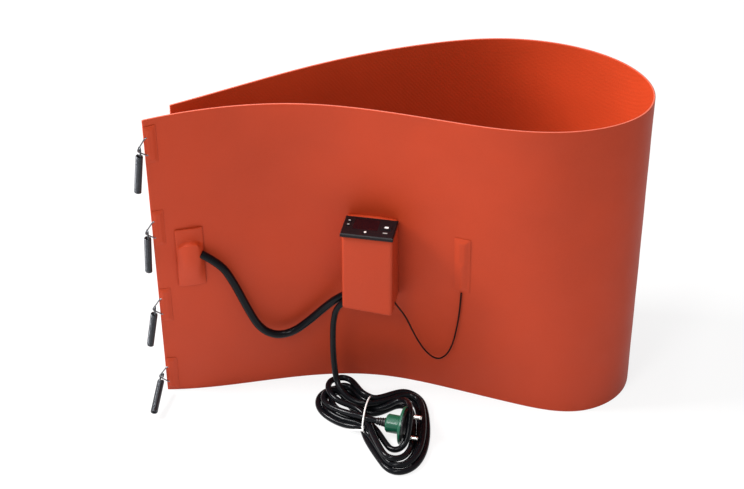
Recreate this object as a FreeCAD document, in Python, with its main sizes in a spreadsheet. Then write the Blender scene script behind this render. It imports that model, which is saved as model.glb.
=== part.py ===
import FreeCAD, Part
import math
import os
import Sketcher
from FreeCAD import Placement, Rotation, Vector

# Drum heater band: a silicone rubber heating sheet that stands on its edge in an open
# loop, with a control box, leads and a row of tension springs along its closing edge.
# Millimetres, +Z up.  The origin is the middle of the band's footprint on the ground.

doc = FreeCAD.newDocument("drum_heater_band")
dim = doc.addObject("Spreadsheet::Sheet", "dim")

# Driving dimensions
SIZES = (
    ("band_height", 300.0, "height of the sheet, edge to edge"),
    ("band_thick", 2.0, "sheet thickness"),
    ("bond_line", 0.1, "adhesive layer under everything stuck to the sheet"),
    ("seat_gap", 0.3, "clearance between loosely fitted pieces"),
    ("row_height_1", 21.0, "height of the lowest spring row"),
    ("row_height_2", 102.0, "height of the second row"),
    ("row_height_3", 188.0, "height of the third row"),
    ("row_height_4", 275.0, "height of the top row"),
    ("patch_width", 11.0, "edge patch, along the sheet"),
    ("patch_height", 37.0, "edge patch, up the sheet"),
    ("patch_thick", 1.9, "edge patch thickness"),
    ("wire_radius", 0.6, "link and catch wire radius"),
    ("link_inset", 3.5, "straight side of a link, in from the edge"),
    ("link_half", 11.5, "half length of a link's straight side"),
    ("link_reach", 6.8, "corner of a link, out from the edge"),
    ("link_drop", 3.5, "corner of a link, below its middle"),
    ("spring_radius", 3.3, "outside radius of a spring"),
    ("spring_wire", 1.6, "spring wire diameter"),
    ("spring_turns", 23, "closed turns in a spring"),
    ("spring_lean_2", 10.0, "lean of the second row's spring out from the edge, degrees"),
    ("spring_lean_3", 3.0, "lean of the third row's spring"),
    ("spring_lean_4", 7.0, "lean of the top row's spring"),
    ("low_droop", 12.0, "slope of the lowest spring, which points forward, degrees"),
    ("hook_length", 5.9, "top of a spring's hook to its first turn"),
    ("hook_gap", 0.25, "clearance between a spring's hook and its link"),
    ("catch_tail", 9.0, "catch wire buried in from the edge"),
    ("catch_reach", 6.5, "catch hook, out from the edge"),
    ("catch_rise", 4.6, "catch hook, off the sheet"),
    ("cover_start", 19.0, "terminal cover, from the closing edge"),
    ("cover_width", 25.0, "terminal cover, along the sheet"),
    ("cover_base", 122.0, "terminal cover, height of its lower edge"),
    ("cover_height", 61.0, "terminal cover, up the sheet"),
    ("cover_edge", 3.0, "terminal cover thickness at its upper and lower edge"),
    ("cover_bulge", 10.5, "terminal cover thickness over the lead joint"),
    ("box_station", 196.2, "middle of the control box, along the sheet"),
    ("box_aim", 150.0, "height at which the control box lies square to the sheet"),
    ("box_stand", 5.0, "control box, out from the sheet at that height"),
    ("box_width", 45.2, "silicone sleeve of the control box, along the sheet"),
    ("box_depth", 28.0, "silicone sleeve, out from the sheet"),
    ("box_base", 105.0, "silicone sleeve, height of its underside"),
    ("box_rim", 186.3, "silicone sleeve, height of its open top"),
    ("box_lip", 191.2, "height of the flap behind the panel"),
    ("box_wall", 2.0, "silicone sleeve wall"),
    ("box_round", 2.5, "silicone sleeve, outside corner radius"),
    ("case_wall", 1.6, "controller case wall"),
    ("panel_width", 46.8, "controller panel, along the sheet"),
    ("panel_depth", 28.8, "controller panel, out from the sheet"),
    ("panel_back", 1.4, "back edge of the panel, out from the sheet"),
    ("panel_top", 190.0, "height of the panel's face"),
    ("panel_thick", 3.4, "panel thickness"),
    ("panel_bevel", 0.8, "bevel round the panel's face"),
    ("window_left", -14.2, "display window, left side from the box's middle"),
    ("window_right", 8.0, "display window, right side"),
    ("window_back", 4.6, "display window, back edge from the sheet"),
    ("window_front", 20.6, "display window, front edge from the sheet"),
    ("window_thick", 1.6, "display window thickness"),
    ("small_key_x", -18.6, "up and down keys, across the panel"),
    ("small_key_radius", 1.7, "up and down keys"),
    ("up_key_y", 9.6, "up key, out from the sheet"),
    ("down_key_y", 15.6, "down key, out from the sheet"),
    ("set_key_x", 15.2, "set key, across the panel"),
    ("set_key_y", 15.0, "set key, out from the sheet"),
    ("set_key_width", 9.0, "set key, across the panel"),
    ("set_key_depth", 6.0, "set key, front to back"),
    ("key_gap", 0.15, "running clearance round a key"),
    ("key_proud", 0.7, "height of a key above the panel"),
    ("key_flange", 0.8, "retaining rim of a key, outside its hole"),
    ("key_travel", 0.5, "stroke of a key"),
    ("lamp_x", -2.0, "indicator lamp, across the panel"),
    ("lamp_y", 24.2, "indicator lamp, out from the sheet"),
    ("lamp_radius", 1.2, "indicator lamp"),
    ("board_thick", 1.6, "circuit board"),
    ("board_stand", 2.5, "circuit board, clearance from the case's back wall"),
    ("board_inset", 20.0, "circuit board, above the sleeve's foot"),
    ("board_drop", 8.0, "display board, below the panel"),
    ("switch_width", 4.0, "key switches, across and front to back"),
    ("switch_gap", 1.4, "small keys' switches, clearance from the display module"),
    ("set_switch_gap", 1.2, "set key's switch, from the end of the display board"),
    ("relay_gap", 1.7, "power relay, clearance from the case's front wall"),
    ("transformer_gap", 2.7, "transformer, clearance from the case's front wall"),
    ("terminal_gap", 6.7, "terminal block, clearance from the case's front wall"),
    ("lead_radius", 3.7, "heater lead"),
    ("cord_radius", 2.8, "mains cord"),
    ("probe_radius", 0.75, "sensor wire"),
    ("sensor_start", 270.0, "sensor patch, from the closing edge"),
    ("sensor_width", 15.0, "sensor patch, along the sheet"),
    ("sensor_base", 120.0, "sensor patch, height of its lower edge"),
    ("sensor_height", 60.0, "sensor patch, up the sheet"),
    ("sensor_thick", 1.9, "sensor patch thickness"),
    ("probe_inset", 6.0, "sensor probe, above the foot of its patch"),
    ("probe_length", 24.0, "sensor probe, up the sheet"),
    ("hank_height", 13.0, "tied hank of mains cord"),
    ("tie_thick", 1.4, "hank tie"),
    ("tie_width", 2.6, "hank tie"),
    ("plug_height", 17.6, "height of the plug's middle"),
    ("plug_yaw", -15.0, "direction of the pins, degrees"),
    ("plug_roll", -42.0, "roll of the plug on the ground, degrees"),
    ("flange_radius", 17.5, "plug flange"),
    ("flange_thick", 2.2, "plug flange"),
    ("neck_radius", 8.5, "plug neck"),
    ("neck_length", 14.0, "plug neck"),
    ("face_radius", 16.0, "plug face insert"),
    ("face_thick", 1.6, "plug face insert"),
    ("pin_radius", 2.0, "plug pin"),
    ("pin_length", 13.0, "plug pin, beyond the face"),
    ("pin_pitch", 19.0, "plug pins, middle to middle"),
    ("guard_length", 9.0, "plug cord guard"),
)
for row, (alias, number, note) in enumerate(SIZES, 1):
    dim.set("A%d" % row, alias)
    dim.set("B%d" % row, str(number))
    dim.set("C%d" % row, note)
    dim.setAlias("B%d" % row, alias)
doc.recompute()


def value(expression):
    """Number that an expression on the dimensions gives."""
    answer = dim.evalExpression(expression)
    return float(getattr(answer, "Value", answer))


def size(alias):
    return value("dim." + alias)


parts = []


def keep(item, label):
    """Enter an object as a sub-part of the model."""
    item.Label = label
    parts.append(item)
    return item


def feature(label, shape):
    """Sub-part whose shape is worked out from the dimensions below."""
    item = doc.addObject("Part::Feature", label)
    item.Shape = shape
    return keep(item, label)


# The sheet's line on the ground and along its top edge, seen from above
TOP_LINE = ((-217, -61.5), (-154, -40.5), (-88, -34.7), (-23, -45.5), (40, -64.3), (105, -79.5),
            (170, -72.3), (208, -43), (216, -12), (200, 31), (161, 63.5), (93, 81.3), (24, 71.7),
            (-75, 34), (-136, 0.2), (-197, -35))
FOOT_LINE = ((-217, -52), (-151, -43.9), (-86, -31.7), (-20, -30.7), (43, -48.5), (105, -71.7),
             (170, -81.6), (208, -54), (217, -20), (202, 27), (161, 62), (93, 80.5), (24, 71.7),
             (-75, 34), (-136, 0.2), (-197, -35))
top_curve = Part.BSplineCurve()
top_curve.interpolate([Vector(x, y, 0) for x, y in TOP_LINE])
foot_curve = Part.BSplineCurve()
foot_curve.interpolate([Vector(x, y, 0) for x, y in FOOT_LINE])
band_length = (top_curve.length() + foot_curve.length()) / 2
band_height = size("band_height")
bond_line = size("bond_line")


def along(curve, station):
    """Point and direction of a curve at a share of the band's length."""
    share = min(max(station / band_length, 0.0), 1.0)
    where = curve.parameterAtDistance(share * curve.length(), curve.FirstParameter)
    direction = curve.tangent(where)[0]
    overrun = station - share * band_length
    return curve.value(where) + direction * overrun, direction


def outward(station, height):
    """Place on the sheet's outer face, direction along it and direction away from it."""
    top_point, top_way = along(top_curve, station)
    foot_point, foot_way = along(foot_curve, station)
    share = height / band_height
    point = top_point * share + foot_point * (1 - share)
    way = top_way * share + foot_way * (1 - share)
    way.normalize()
    return Vector(point.x, point.y, height), way, Vector(way.y, -way.x, 0)


def off_sheet(station, height, rise):
    point, way, away = outward(station, height)
    return point + away * rise


def strip(start, end, low, high, inner, outer, pace=20.0):
    """Solid that follows the sheet between two rises off its outer face."""
    count = max(2, int(math.ceil((end - start) / pace)))
    stations = [start + (end - start) * step / count for step in range(count + 1)]

    def section(height):
        far = Part.BSplineCurve()
        far.interpolate([off_sheet(station, height, outer) for station in stations])
        near = Part.BSplineCurve()
        near.interpolate([off_sheet(station, height, inner) for station in stations])
        first = Part.LineSegment(near.StartPoint, far.StartPoint)
        last = Part.LineSegment(near.EndPoint, far.EndPoint)
        return Part.Wire([first.toShape(), far.toShape(), last.toShape(), near.toShape()])

    return Part.makeLoft([section(low), section(high)], True, True)


def bar(start, end, radius):
    """Round bar from point to point."""
    return Part.makeCylinder(radius, (end - start).Length, start, end - start)


def rounded_path(points, bends):
    """Straight runs joined by tangent arcs, with the radius of each bend."""
    edges = []
    tail = points[0]
    for before, corner, after, bend in zip(points, points[1:], points[2:], bends):
        back = (before - corner).normalize()
        ahead = (after - corner).normalize()
        half = (math.pi - back.getAngle(ahead)) / 2
        reach = bend * math.tan(half)
        middle = (back + ahead).normalize()
        first = corner + back * reach
        last = corner + ahead * reach
        crown = corner + middle * (bend / math.cos(half) - bend)
        edges.append(Part.LineSegment(tail, first).toShape())
        edges.append(Part.Arc(first, crown, last).toShape())
        tail = last
    edges.append(Part.LineSegment(tail, points[-1]).toShape())
    return Part.Wire(edges)


def swept(path, radius):
    """Round solid along a path."""
    start = path.Edges[0]
    ring = Part.Circle(start.valueAt(start.FirstParameter), start.tangentAt(start.FirstParameter), radius)
    return path.makePipeShell([Part.Wire([ring.toShape()])], True, False)


def cord_bends(points):
    """Largest bend that each corner of a cord's route allows."""
    bends = []
    for before, corner, after in zip(points, points[1:], points[2:]):
        back = before - corner
        ahead = after - corner
        half = (math.pi - back.getAngle(ahead)) / 2
        bends.append(0.45 * min(back.Length, ahead.Length) / math.tan(half))
    return bends


def cord(label, points, radius):
    bends = cord_bends(points)
    path = rounded_path(points, bends)
    shape = swept(path, radius)
    print(label, "bends", [round(bend, 1) for bend in bends], "length", round(path.Length, 1),
          "volume share", round(shape.Volume / (math.pi * radius ** 2 * path.Length), 4))
    return feature(label, shape)


# Parametric bodies


def new_body(label, place=None):
    body = doc.addObject("PartDesign::Body", label)
    body.Placement = place or Placement()
    return keep(body, label)


def origin_plane(body, role):
    return [item for item in body.Origin.OriginFeatures if item.Role == role][0]


def pin_vertex(sketch, index, axis, expression):
    """Hold one end of a sketch line, or a circle's middle, at an expression from an axis."""
    geometry = sketch.Geometry[index]
    position = 3 if isinstance(geometry, Part.Circle) else 1
    number = value(expression)
    if abs(number) < 1e-9:
        sketch.addConstraint(Sketcher.Constraint("PointOnObject", index, position, -2 if axis == "X" else -1))
        return
    order = sketch.addConstraint(Sketcher.Constraint("Distance" + axis, -1, 1, index, position, number))
    sketch.setExpression("Constraints[%d]" % order, expression)


def new_sketch(body, plane, lift=None):
    sketch = body.newObject("Sketcher::SketchObject", body.Label + "_sketch")
    sketch.AttachmentSupport = (origin_plane(body, plane), "")
    sketch.MapMode = "FlatFace"
    if lift:
        sketch.setExpression(".AttachmentOffset.Base.z", lift)
    return sketch


def outline(body, plane, corners, lift=None):
    """Closed sketch whose corners sit at pairs of expressions."""
    sketch = new_sketch(body, plane, lift)
    spots = [Vector(value(x), value(y), 0) for x, y in corners]
    count = len(spots)
    lines = [Part.LineSegment(spots[step], spots[(step + 1) % count]) for step in range(count)]
    sketch.addGeometry(lines, False)
    for step in range(count):
        sketch.addConstraint(Sketcher.Constraint("Coincident", step, 2, (step + 1) % count, 1))
    for step, (x, y) in enumerate(corners):
        pin_vertex(sketch, step, "X", x)
        pin_vertex(sketch, step, "Y", y)
    return sketch


def rectangle(body, plane, left, right, low, high, lift=None):
    return outline(body, plane, ((left, low), (right, low), (right, high), (left, high)), lift)


def circle(body, plane, x, y, radius, lift=None):
    sketch = new_sketch(body, plane, lift)
    sketch.addGeometry(Part.Circle(Vector(value(x), value(y), 0), Vector(0, 0, 1), value(radius)), False)
    pin_vertex(sketch, 0, "X", x)
    pin_vertex(sketch, 0, "Y", y)
    order = sketch.addConstraint(Sketcher.Constraint("Radius", 0, value(radius)))
    sketch.setExpression("Constraints[%d]" % order, radius)
    return sketch


def pad(body, sketch, length, back=False):
    item = body.newObject("PartDesign::Pad", body.Label + "_pad")
    item.Profile = sketch
    item.setExpression("Length", length)
    item.Reversed = back
    doc.recompute()
    return item


def pocket(body, sketch, length, back=False):
    before = body.Shape.Volume
    item = body.newObject("PartDesign::Pocket", body.Label + "_pocket")
    item.Profile = sketch
    item.setExpression("Length", length)
    item.Reversed = back
    doc.recompute()
    if body.Shape.Volume > before - 1e-6:
        raise RuntimeError(body.Label + ": a pocket cut nothing")
    return item


def turned(body, corners):
    """Solid of revolution about the body's X axis, from corners at length and radius."""
    sketch = outline(body, "XY_Plane", corners)
    item = body.newObject("PartDesign::Revolution", body.Label + "_turned")
    item.Profile = sketch
    item.ReferenceAxis = (sketch, ["H_Axis"])
    item.Angle = 360
    doc.recompute()
    return item


def dress(body, kind, edges, amount):
    """Fillet or chamfer on the edges of a body's tip that a test picks."""
    base = body.Tip
    names = ["Edge%d" % number for number, edge in enumerate(base.Shape.Edges, 1) if edges(edge)]
    item = body.newObject("PartDesign::" + kind, body.Label + "_" + kind.lower())
    item.Base = (base, names)
    item.setExpression("Radius" if kind == "Fillet" else "Size", amount)
    doc.recompute()
    return item


def upright(edge):
    """Edge that runs straight up."""
    bounds = edge.BoundBox
    return bounds.ZLength > 1e-3 and bounds.XLength < 1e-4 and bounds.YLength < 1e-4


# Heating sheet

heater_band = feature("heater_band", strip(0.0, band_length, 0.0, band_height, -size("band_thick"), 0.0))

# Closing edge: links under edge patches, a spring on each link

wire_radius = size("wire_radius")
spring_wire_radius = size("spring_wire") / 2
hook_radius = size("spring_radius") - spring_wire_radius
corner_bend = spring_wire_radius + wire_radius + size("hook_gap")
spring_length = size("spring_turns") * size("spring_wire")
spring_top = size("hook_length") - spring_wire_radius
row_heights = [size("row_height_%d" % row) for row in (1, 2, 3, 4)]


def edge_frame(station, height, beyond):
    """Directions at an end of the sheet: out past the edge, up, and off the face."""
    point, way, away = outward(station, height)
    up = (off_sheet(station, height + 10.0, 0.0) - off_sheet(station, height - 10.0, 0.0)).normalize()
    away = way.cross(up).normalize()
    return point + away * (bond_line + wire_radius), way * beyond, up, away


def in_edge_frame(frame, reach, rise, lift=0.0):
    point, past, up, away = frame
    return point + past * reach + up * rise + away * lift


def link_corners(frame):
    inset = -size("link_inset")
    half = size("link_half")
    return [in_edge_frame(frame, inset, half), in_edge_frame(frame, inset, -half),
            in_edge_frame(frame, size("link_reach"), -size("link_drop"))]


def link_pivot(frame):
    """Middle of the bend at a link's outer corner, which a spring's hook turns about."""
    upper, lower, corner = link_corners(frame)
    up = (upper - corner).normalize()
    down = (lower - corner).normalize()
    half = up.getAngle(down) / 2
    return corner + (up + down).normalize() * (corner_bend / math.sin(half))


def link_solid(frame):
    upper, lower, corner = link_corners(frame)
    start = (upper + lower) / 2
    path = rounded_path([start, lower, corner, upper, start], [corner_bend] * 3)
    return swept(path, wire_radius)


def spring_solid(pivot, axis, side):
    """Close-wound spring with a round hook, from the hook's pivot along its axis.

    side is the direction of the bar of the hook that lies on the link."""
    radius = size("spring_radius")
    bore = radius - size("spring_wire")
    valley = radius - spring_wire_radius * 0.55
    pitch = size("spring_wire")
    corners = [Vector(0, bore, 0), Vector(0, valley, 0)]
    for turn in range(int(size("spring_turns"))):
        corners.append(Vector((turn + 0.5) * pitch, radius, 0))
        corners.append(Vector((turn + 1) * pitch, valley, 0))
    corners.append(Vector(spring_length, bore, 0))
    corners.append(corners[0])
    coil = Part.Face(Part.makePolygon(corners)).revolve(Vector(), Vector(1, 0, 0), 360)
    coil.translate(Vector(spring_top, 0, 0))
    waist = Vector(hook_radius, 0, -hook_radius)
    stem = Part.LineSegment(Vector(spring_top + spring_wire_radius, 0, hook_radius),
                            Vector(hook_radius, 0, hook_radius))
    eye = Part.Arc(stem.EndPoint, Vector(), waist)
    hook = swept(Part.Wire([stem.toShape(), eye.toShape()]), spring_wire_radius)
    shape = coil.fuse(hook)
    turn_over = side.cross(axis)
    place = FreeCAD.Matrix(axis.x, turn_over.x, side.x, pivot.x, axis.y, turn_over.y, side.y, pivot.y,
                           axis.z, turn_over.z, side.z, pivot.z, 0, 0, 0, 1)
    return shape.transformed(place)


pocket_gap = 0.15
for row, height in enumerate(row_heights, 1):
    frame = edge_frame(0.0, height, -1)
    low = height - size("patch_height") / 2
    high = height + size("patch_height") / 2
    patch = strip(0.0, size("patch_width"), low, high, bond_line, size("patch_thick"), 8.0)
    room = strip(-1.0, size("link_inset") + wire_radius + pocket_gap, height - size("link_half") - 1.0,
                 height + size("link_half") + 1.0, 0.0, bond_line + 2 * wire_radius + pocket_gap, 8.0)
    feature("edge_patch_%d" % row, patch.cut(room))
    feature("anchor_link_%d" % row, link_solid(frame))
    point, past, up, away = frame
    pivot = link_pivot(frame)
    if row > 1:
        lean = math.radians(size("spring_lean_%d" % row))
        axis = (past * math.sin(lean) - up * math.cos(lean)).normalize()
        side = Vector(away)
    else:
        # The lowest spring points forward from the lower leg of its link
        upper, lower, corner = link_corners(frame)
        leg = (corner - lower).normalize()
        across = leg.cross(away).normalize()
        if across.z > 0:
            across = across * -1
        grip = corner - leg * (corner_bend * 1.7)
        droop = math.radians(size("low_droop"))
        axis = (away * math.cos(droop) + across * math.sin(droop)).normalize()
        pivot = grip - axis * corner_bend
        side = axis.cross(leg).normalize()
    feature("tension_spring_%d" % row, spring_solid(pivot, axis, side))
    print("spring", row, "pivot", [round(c, 2) for c in pivot], "axis", [round(c, 3) for c in axis],
          "side", [round(c, 3) for c in side], "past", [round(c, 3) for c in past])
    if row == 1:
        print("leg axis", [round(c, 4) for c in leg], "grip", [round(c, 2) for c in grip])

# Catch edge at the other end of the sheet

for row, height in enumerate(row_heights, 1):
    frame = edge_frame(band_length, height, 1)
    low = height - size("patch_height") / 2
    high = height + size("patch_height") / 2
    patch = strip(band_length - size("patch_width"), band_length, low, high, bond_line, size("patch_thick"), 8.0)
    slot_half = wire_radius + pocket_gap
    room = strip(band_length - size("catch_tail") - pocket_gap, band_length + 1.0, height - slot_half,
                 height + slot_half, 0.0, bond_line + 2 * wire_radius + pocket_gap, 8.0)
    feature("catch_patch_%d" % row, patch.cut(room))
    path = rounded_path([in_edge_frame(frame, -size("catch_tail"), 0.0),
                         in_edge_frame(frame, size("catch_reach"), 0.0),
                         in_edge_frame(frame, size("catch_reach"), 0.0, size("catch_rise")),
                         in_edge_frame(frame, 1.0, 0.0, size("catch_rise"))], [1.6, 1.6])
    feature("catch_hook_%d" % row, swept(path, wire_radius))

# Terminal cover: a pillow moulded over the joint of the heater lead

cover_middle = size("cover_base") + size("cover_height") / 2
LEAD_JOINT = ((39.0, 158.3, 5.1), (53.0, 148.5, 6.6))


def cover_section(height, rise, shrink):
    left = size("cover_start") + shrink
    right = size("cover_start") + size("cover_width") - shrink
    slope = rise * 0.25
    corners = [off_sheet(left, height, bond_line), off_sheet(right, height, bond_line),
               off_sheet(right, height, rise * 0.6), off_sheet(right - slope - 1.5, height, rise),
               off_sheet(left + slope + 3.0, height, rise * 0.9), off_sheet(left, height, rise * 0.45)]
    return Part.makePolygon(corners + corners[:1])


terminal_cover = feature("terminal_cover", Part.makeLoft(
    [cover_section(size("cover_base"), size("cover_edge"), 1.0),
     cover_section(cover_middle - 6.0, size("cover_bulge"), 0.0),
     cover_section(cover_middle + 7.0, size("cover_bulge"), 0.0),
     cover_section(size("cover_base") + size("cover_height"), size("cover_edge"), 0.5)], True, True).cut(
        bar(*[off_sheet(station, height, rise) for station, height, rise in LEAD_JOINT], size("lead_radius") + 0.15)))

# Sensor patch and the probe under it

sensor_high = size("sensor_base") + size("sensor_height")
sensor_middle = size("sensor_start") + size("sensor_width") / 2
probe_low = size("sensor_base") + size("probe_inset")
probe_high = probe_low + size("probe_length")
sensor_room = strip(sensor_middle - 1.0, sensor_middle + 1.0, probe_low - 0.3, probe_high + 0.3, 0.0, 1.6, 8.0)
feature("sensor_patch", strip(size("sensor_start"), size("sensor_start") + size("sensor_width"),
                              size("sensor_base"), sensor_high, bond_line, size("sensor_thick"), 8.0).cut(sensor_room))
feature("sensor_probe", bar(off_sheet(sensor_middle, probe_low, 0.85), off_sheet(sensor_middle, probe_high, 0.85), 0.7))

# Control box.  Its own frame: X along the sheet, -Y out from the sheet, Z up.

box_point, box_way, box_away = outward(size("box_station"), size("box_aim"))
box_point = box_point + box_away * size("box_stand")
box_turn = math.degrees(math.atan2(box_way.y, box_way.x))
box_place = Placement(Vector(box_point.x, box_point.y, 0), Rotation(Vector(0, 0, 1), box_turn))
print("box place", box_place.Base, "turn", round(box_turn, 2))


def in_box(x, out, height):
    return box_place.multVec(Vector(x, -out, height))


sleeve_body = doc.addObject("PartDesign::Body", "sleeve_block")
sleeve_body.Placement = box_place
sleeve_back = 12.0
pad(sleeve_body, rectangle(sleeve_body, "XY_Plane", "-dim.box_width / 2", "dim.box_width / 2", "-dim.box_depth",
                           str(sleeve_back), "dim.box_base"), "dim.box_lip - dim.box_base")
dress(sleeve_body, "Fillet", lambda edge: edge.BoundBox.YMax < -size("box_depth") + 0.01 or
      (edge.BoundBox.ZMax < size("box_base") + 0.01 and abs(edge.BoundBox.XLength) < 0.01), "dim.box_round")
pocket(sleeve_body, rectangle(sleeve_body, "XY_Plane", "-dim.box_width / 2 - 1", "dim.box_width / 2 + 1",
                              "-dim.box_depth - 1", "-dim.panel_back + 0.2", "dim.box_lip"),
       "dim.box_lip - dim.box_rim")
pocket(sleeve_body, rectangle(sleeve_body, "XY_Plane", "-dim.box_width / 2 + dim.box_wall",
                              "dim.box_width / 2 - dim.box_wall", "-dim.box_depth + dim.box_wall",
                              "-dim.panel_back", "dim.box_rim"), "dim.box_rim - dim.box_base - dim.box_wall")
behind = strip(size("box_station") - 45.0, size("box_station") + 45.0, 90.0, 220.0, -30.0, bond_line)

lead_hole_run = (in_box(-31.0, 12.5, 107.0), in_box(-14.0, 13.5, 117.0))
cord_hole_run = (in_box(-30.5, 21.0, 104.0), in_box(-15.0, 21.0, 115.5))
wire_hole_run = (in_box(17.0, 14.0, 118.5), in_box(25.0, 13.0, 104.5))


def bored(shape, extra):
    """Cut the three cable holes through a wall of the control box."""
    for run, radius in ((lead_hole_run, "lead_radius"), (cord_hole_run, "cord_radius"),
                        (wire_hole_run, "probe_radius")):
        shape = shape.cut(bar(run[0], run[1], size(radius) + extra))
    return shape


sleeve = sleeve_body.Shape.copy()
feature("control_sleeve", bored(sleeve.cut(behind), 0.15))

case_body = doc.addObject("PartDesign::Body", "case_block")
case_body.Placement = box_place
case_side = "(dim.box_width / 2 - dim.box_wall - dim.seat_gap)"
case_front = "(dim.box_depth - dim.box_wall - dim.seat_gap)"
case_back = "(dim.panel_back + dim.seat_gap)"
case_low = "(dim.box_base + dim.box_wall + dim.seat_gap)"
case_top = "(dim.panel_top - dim.panel_thick)"
pad(case_body, rectangle(case_body, "XY_Plane", "-" + case_side, case_side, "-" + case_front, "-" + case_back,
                         case_low), case_top + " - " + case_low)
pocket(case_body, rectangle(case_body, "XY_Plane", "-" + case_side + " + dim.case_wall",
                            case_side + " - dim.case_wall", "-" + case_front + " + dim.case_wall",
                            "-" + case_back + " - dim.case_wall", case_top),
       case_top + " - " + case_low + " - dim.case_wall")
feature("controller_case", bored(case_body.Shape.copy(), 0.15))

# Panel with its window, keys and lamp

bezel = new_body("panel_bezel", box_place)
panel_front = "(dim.panel_back + dim.panel_depth)"
pad(bezel, rectangle(bezel, "XY_Plane", "-dim.panel_width / 2", "dim.panel_width / 2", "-" + panel_front,
                     "-dim.panel_back", "dim.panel_top - dim.panel_thick"), "dim.panel_thick")
dress(bezel, "Chamfer", lambda edge: edge.BoundBox.ZMin > size("panel_top") - 0.01, "dim.panel_bevel")
pocket(bezel, rectangle(bezel, "XY_Plane", "dim.window_left", "dim.window_right", "-dim.window_front",
                        "-dim.window_back", "dim.panel_top"), "dim.window_thick")
pocket(bezel, rectangle(bezel, "XY_Plane", "dim.window_left + 1", "dim.window_right - 1", "-dim.window_front + 1",
                        "-dim.window_back - 1", "dim.panel_top - dim.window_thick"),
       "dim.panel_thick - dim.window_thick")
key_room = "dim.key_flange + dim.key_travel + 0.2"
for key_y in ("dim.up_key_y", "dim.down_key_y"):
    pocket(bezel, circle(bezel, "XY_Plane", "dim.small_key_x", "-" + key_y, "dim.small_key_radius + dim.key_gap",
                         "dim.panel_top"), "dim.panel_thick")
    pocket(bezel, circle(bezel, "XY_Plane", "dim.small_key_x", "-" + key_y,
                         "dim.small_key_radius + dim.key_flange + dim.key_gap",
                         "dim.panel_top - dim.panel_thick + " + key_room), key_room)
pocket(bezel, rectangle(bezel, "XY_Plane", "dim.set_key_x - dim.set_key_width / 2 - dim.key_gap",
                        "dim.set_key_x + dim.set_key_width / 2 + dim.key_gap",
                        "-dim.set_key_y - dim.set_key_depth / 2 - dim.key_gap",
                        "-dim.set_key_y + dim.set_key_depth / 2 + dim.key_gap", "dim.panel_top"),
       "dim.panel_thick")
pocket(bezel, rectangle(bezel, "XY_Plane", "dim.set_key_x - dim.set_key_width / 2 - dim.key_gap - dim.key_flange",
                        "dim.set_key_x + dim.set_key_width / 2 + dim.key_gap + dim.key_flange",
                        "-dim.set_key_y - dim.set_key_depth / 2 - dim.key_gap - dim.key_flange",
                        "-dim.set_key_y + dim.set_key_depth / 2 + dim.key_gap + dim.key_flange",
                        "dim.panel_top - dim.panel_thick + " + key_room), key_room)
pocket(bezel, circle(bezel, "XY_Plane", "dim.lamp_x", "-dim.lamp_y", "dim.lamp_radius + 0.05", "dim.panel_top"),
       "dim.panel_thick")

window = new_body("display_window", box_place)
pad(window, rectangle(window, "XY_Plane", "dim.window_left + 0.05", "dim.window_right - 0.05",
                      "-dim.window_front + 0.05", "-dim.window_back - 0.05", "dim.panel_top - dim.window_thick"),
    "dim.window_thick")

key_low = "(dim.panel_top - dim.panel_thick + dim.key_travel + 0.1)"
for label, key_y in (("up_key", "dim.up_key_y"), ("down_key", "dim.down_key_y")):
    key = new_body(label, box_place)
    pad(key, circle(key, "XY_Plane", "dim.small_key_x", "-" + key_y, "dim.small_key_radius", key_low),
        "dim.panel_top + dim.key_proud - " + key_low)
    pad(key, circle(key, "XY_Plane", "dim.small_key_x", "-" + key_y, "dim.small_key_radius + dim.key_flange",
                    key_low), "dim.key_flange")
    dress(key, "Fillet", lambda edge: edge.BoundBox.ZMin > size("panel_top"), "dim.key_proud / 2")
set_key = new_body("set_key", box_place)
pad(set_key, rectangle(set_key, "XY_Plane", "dim.set_key_x - dim.set_key_width / 2",
                       "dim.set_key_x + dim.set_key_width / 2", "-dim.set_key_y - dim.set_key_depth / 2",
                       "-dim.set_key_y + dim.set_key_depth / 2", key_low),
    "dim.panel_top + dim.key_proud - " + key_low)
pad(set_key, rectangle(set_key, "XY_Plane", "dim.set_key_x - dim.set_key_width / 2 - dim.key_flange",
                       "dim.set_key_x + dim.set_key_width / 2 + dim.key_flange",
                       "-dim.set_key_y - dim.set_key_depth / 2 - dim.key_flange",
                       "-dim.set_key_y + dim.set_key_depth / 2 + dim.key_flange", key_low), "dim.key_flange")
dress(set_key, "Fillet", lambda edge: edge.BoundBox.ZMin > size("panel_top"), "dim.key_proud / 2")

lamp = new_body("indicator_lamp", box_place)
pad(lamp, circle(lamp, "XY_Plane", "dim.lamp_x", "-dim.lamp_y", "dim.lamp_radius",
                 "dim.panel_top - dim.panel_thick"), "dim.panel_thick + 0.4")
dress(lamp, "Fillet", lambda edge: edge.BoundBox.ZMin > size("panel_top"), "dim.key_proud / 2")

# Inside the case
inner_side = "(" + case_side + " - dim.case_wall - dim.seat_gap)"
display_board_top = "(dim.panel_top - dim.panel_thick - dim.board_drop)"
display_board = new_body("display_board", box_place)
pad(display_board, rectangle(display_board, "XY_Plane", "-" + inner_side, inner_side, "-" + case_front +
                             " + dim.case_wall + dim.seat_gap", "-" + case_back + " - dim.case_wall - dim.seat_gap",
                             display_board_top + " - dim.board_thick"), "dim.board_thick")
digits = new_body("display_module", box_place)
pad(digits, rectangle(digits, "XY_Plane", "dim.window_left + 1.2", "dim.window_right - 1.2",
                      "-dim.window_front + 1.2", "-dim.window_back - 1.2", display_board_top),
    "dim.panel_top - dim.window_thick - 0.1 - " + display_board_top)
switches = new_body("key_switches", box_place)
switch_top = "(" + key_low + " - dim.key_travel - 0.1 - " + display_board_top + ")"
small_switch = ("-" + inner_side, "dim.window_left + 1.2 - dim.switch_gap")
set_switch = (inner_side + " - dim.set_switch_gap - dim.switch_width", inner_side + " - dim.set_switch_gap")
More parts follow.
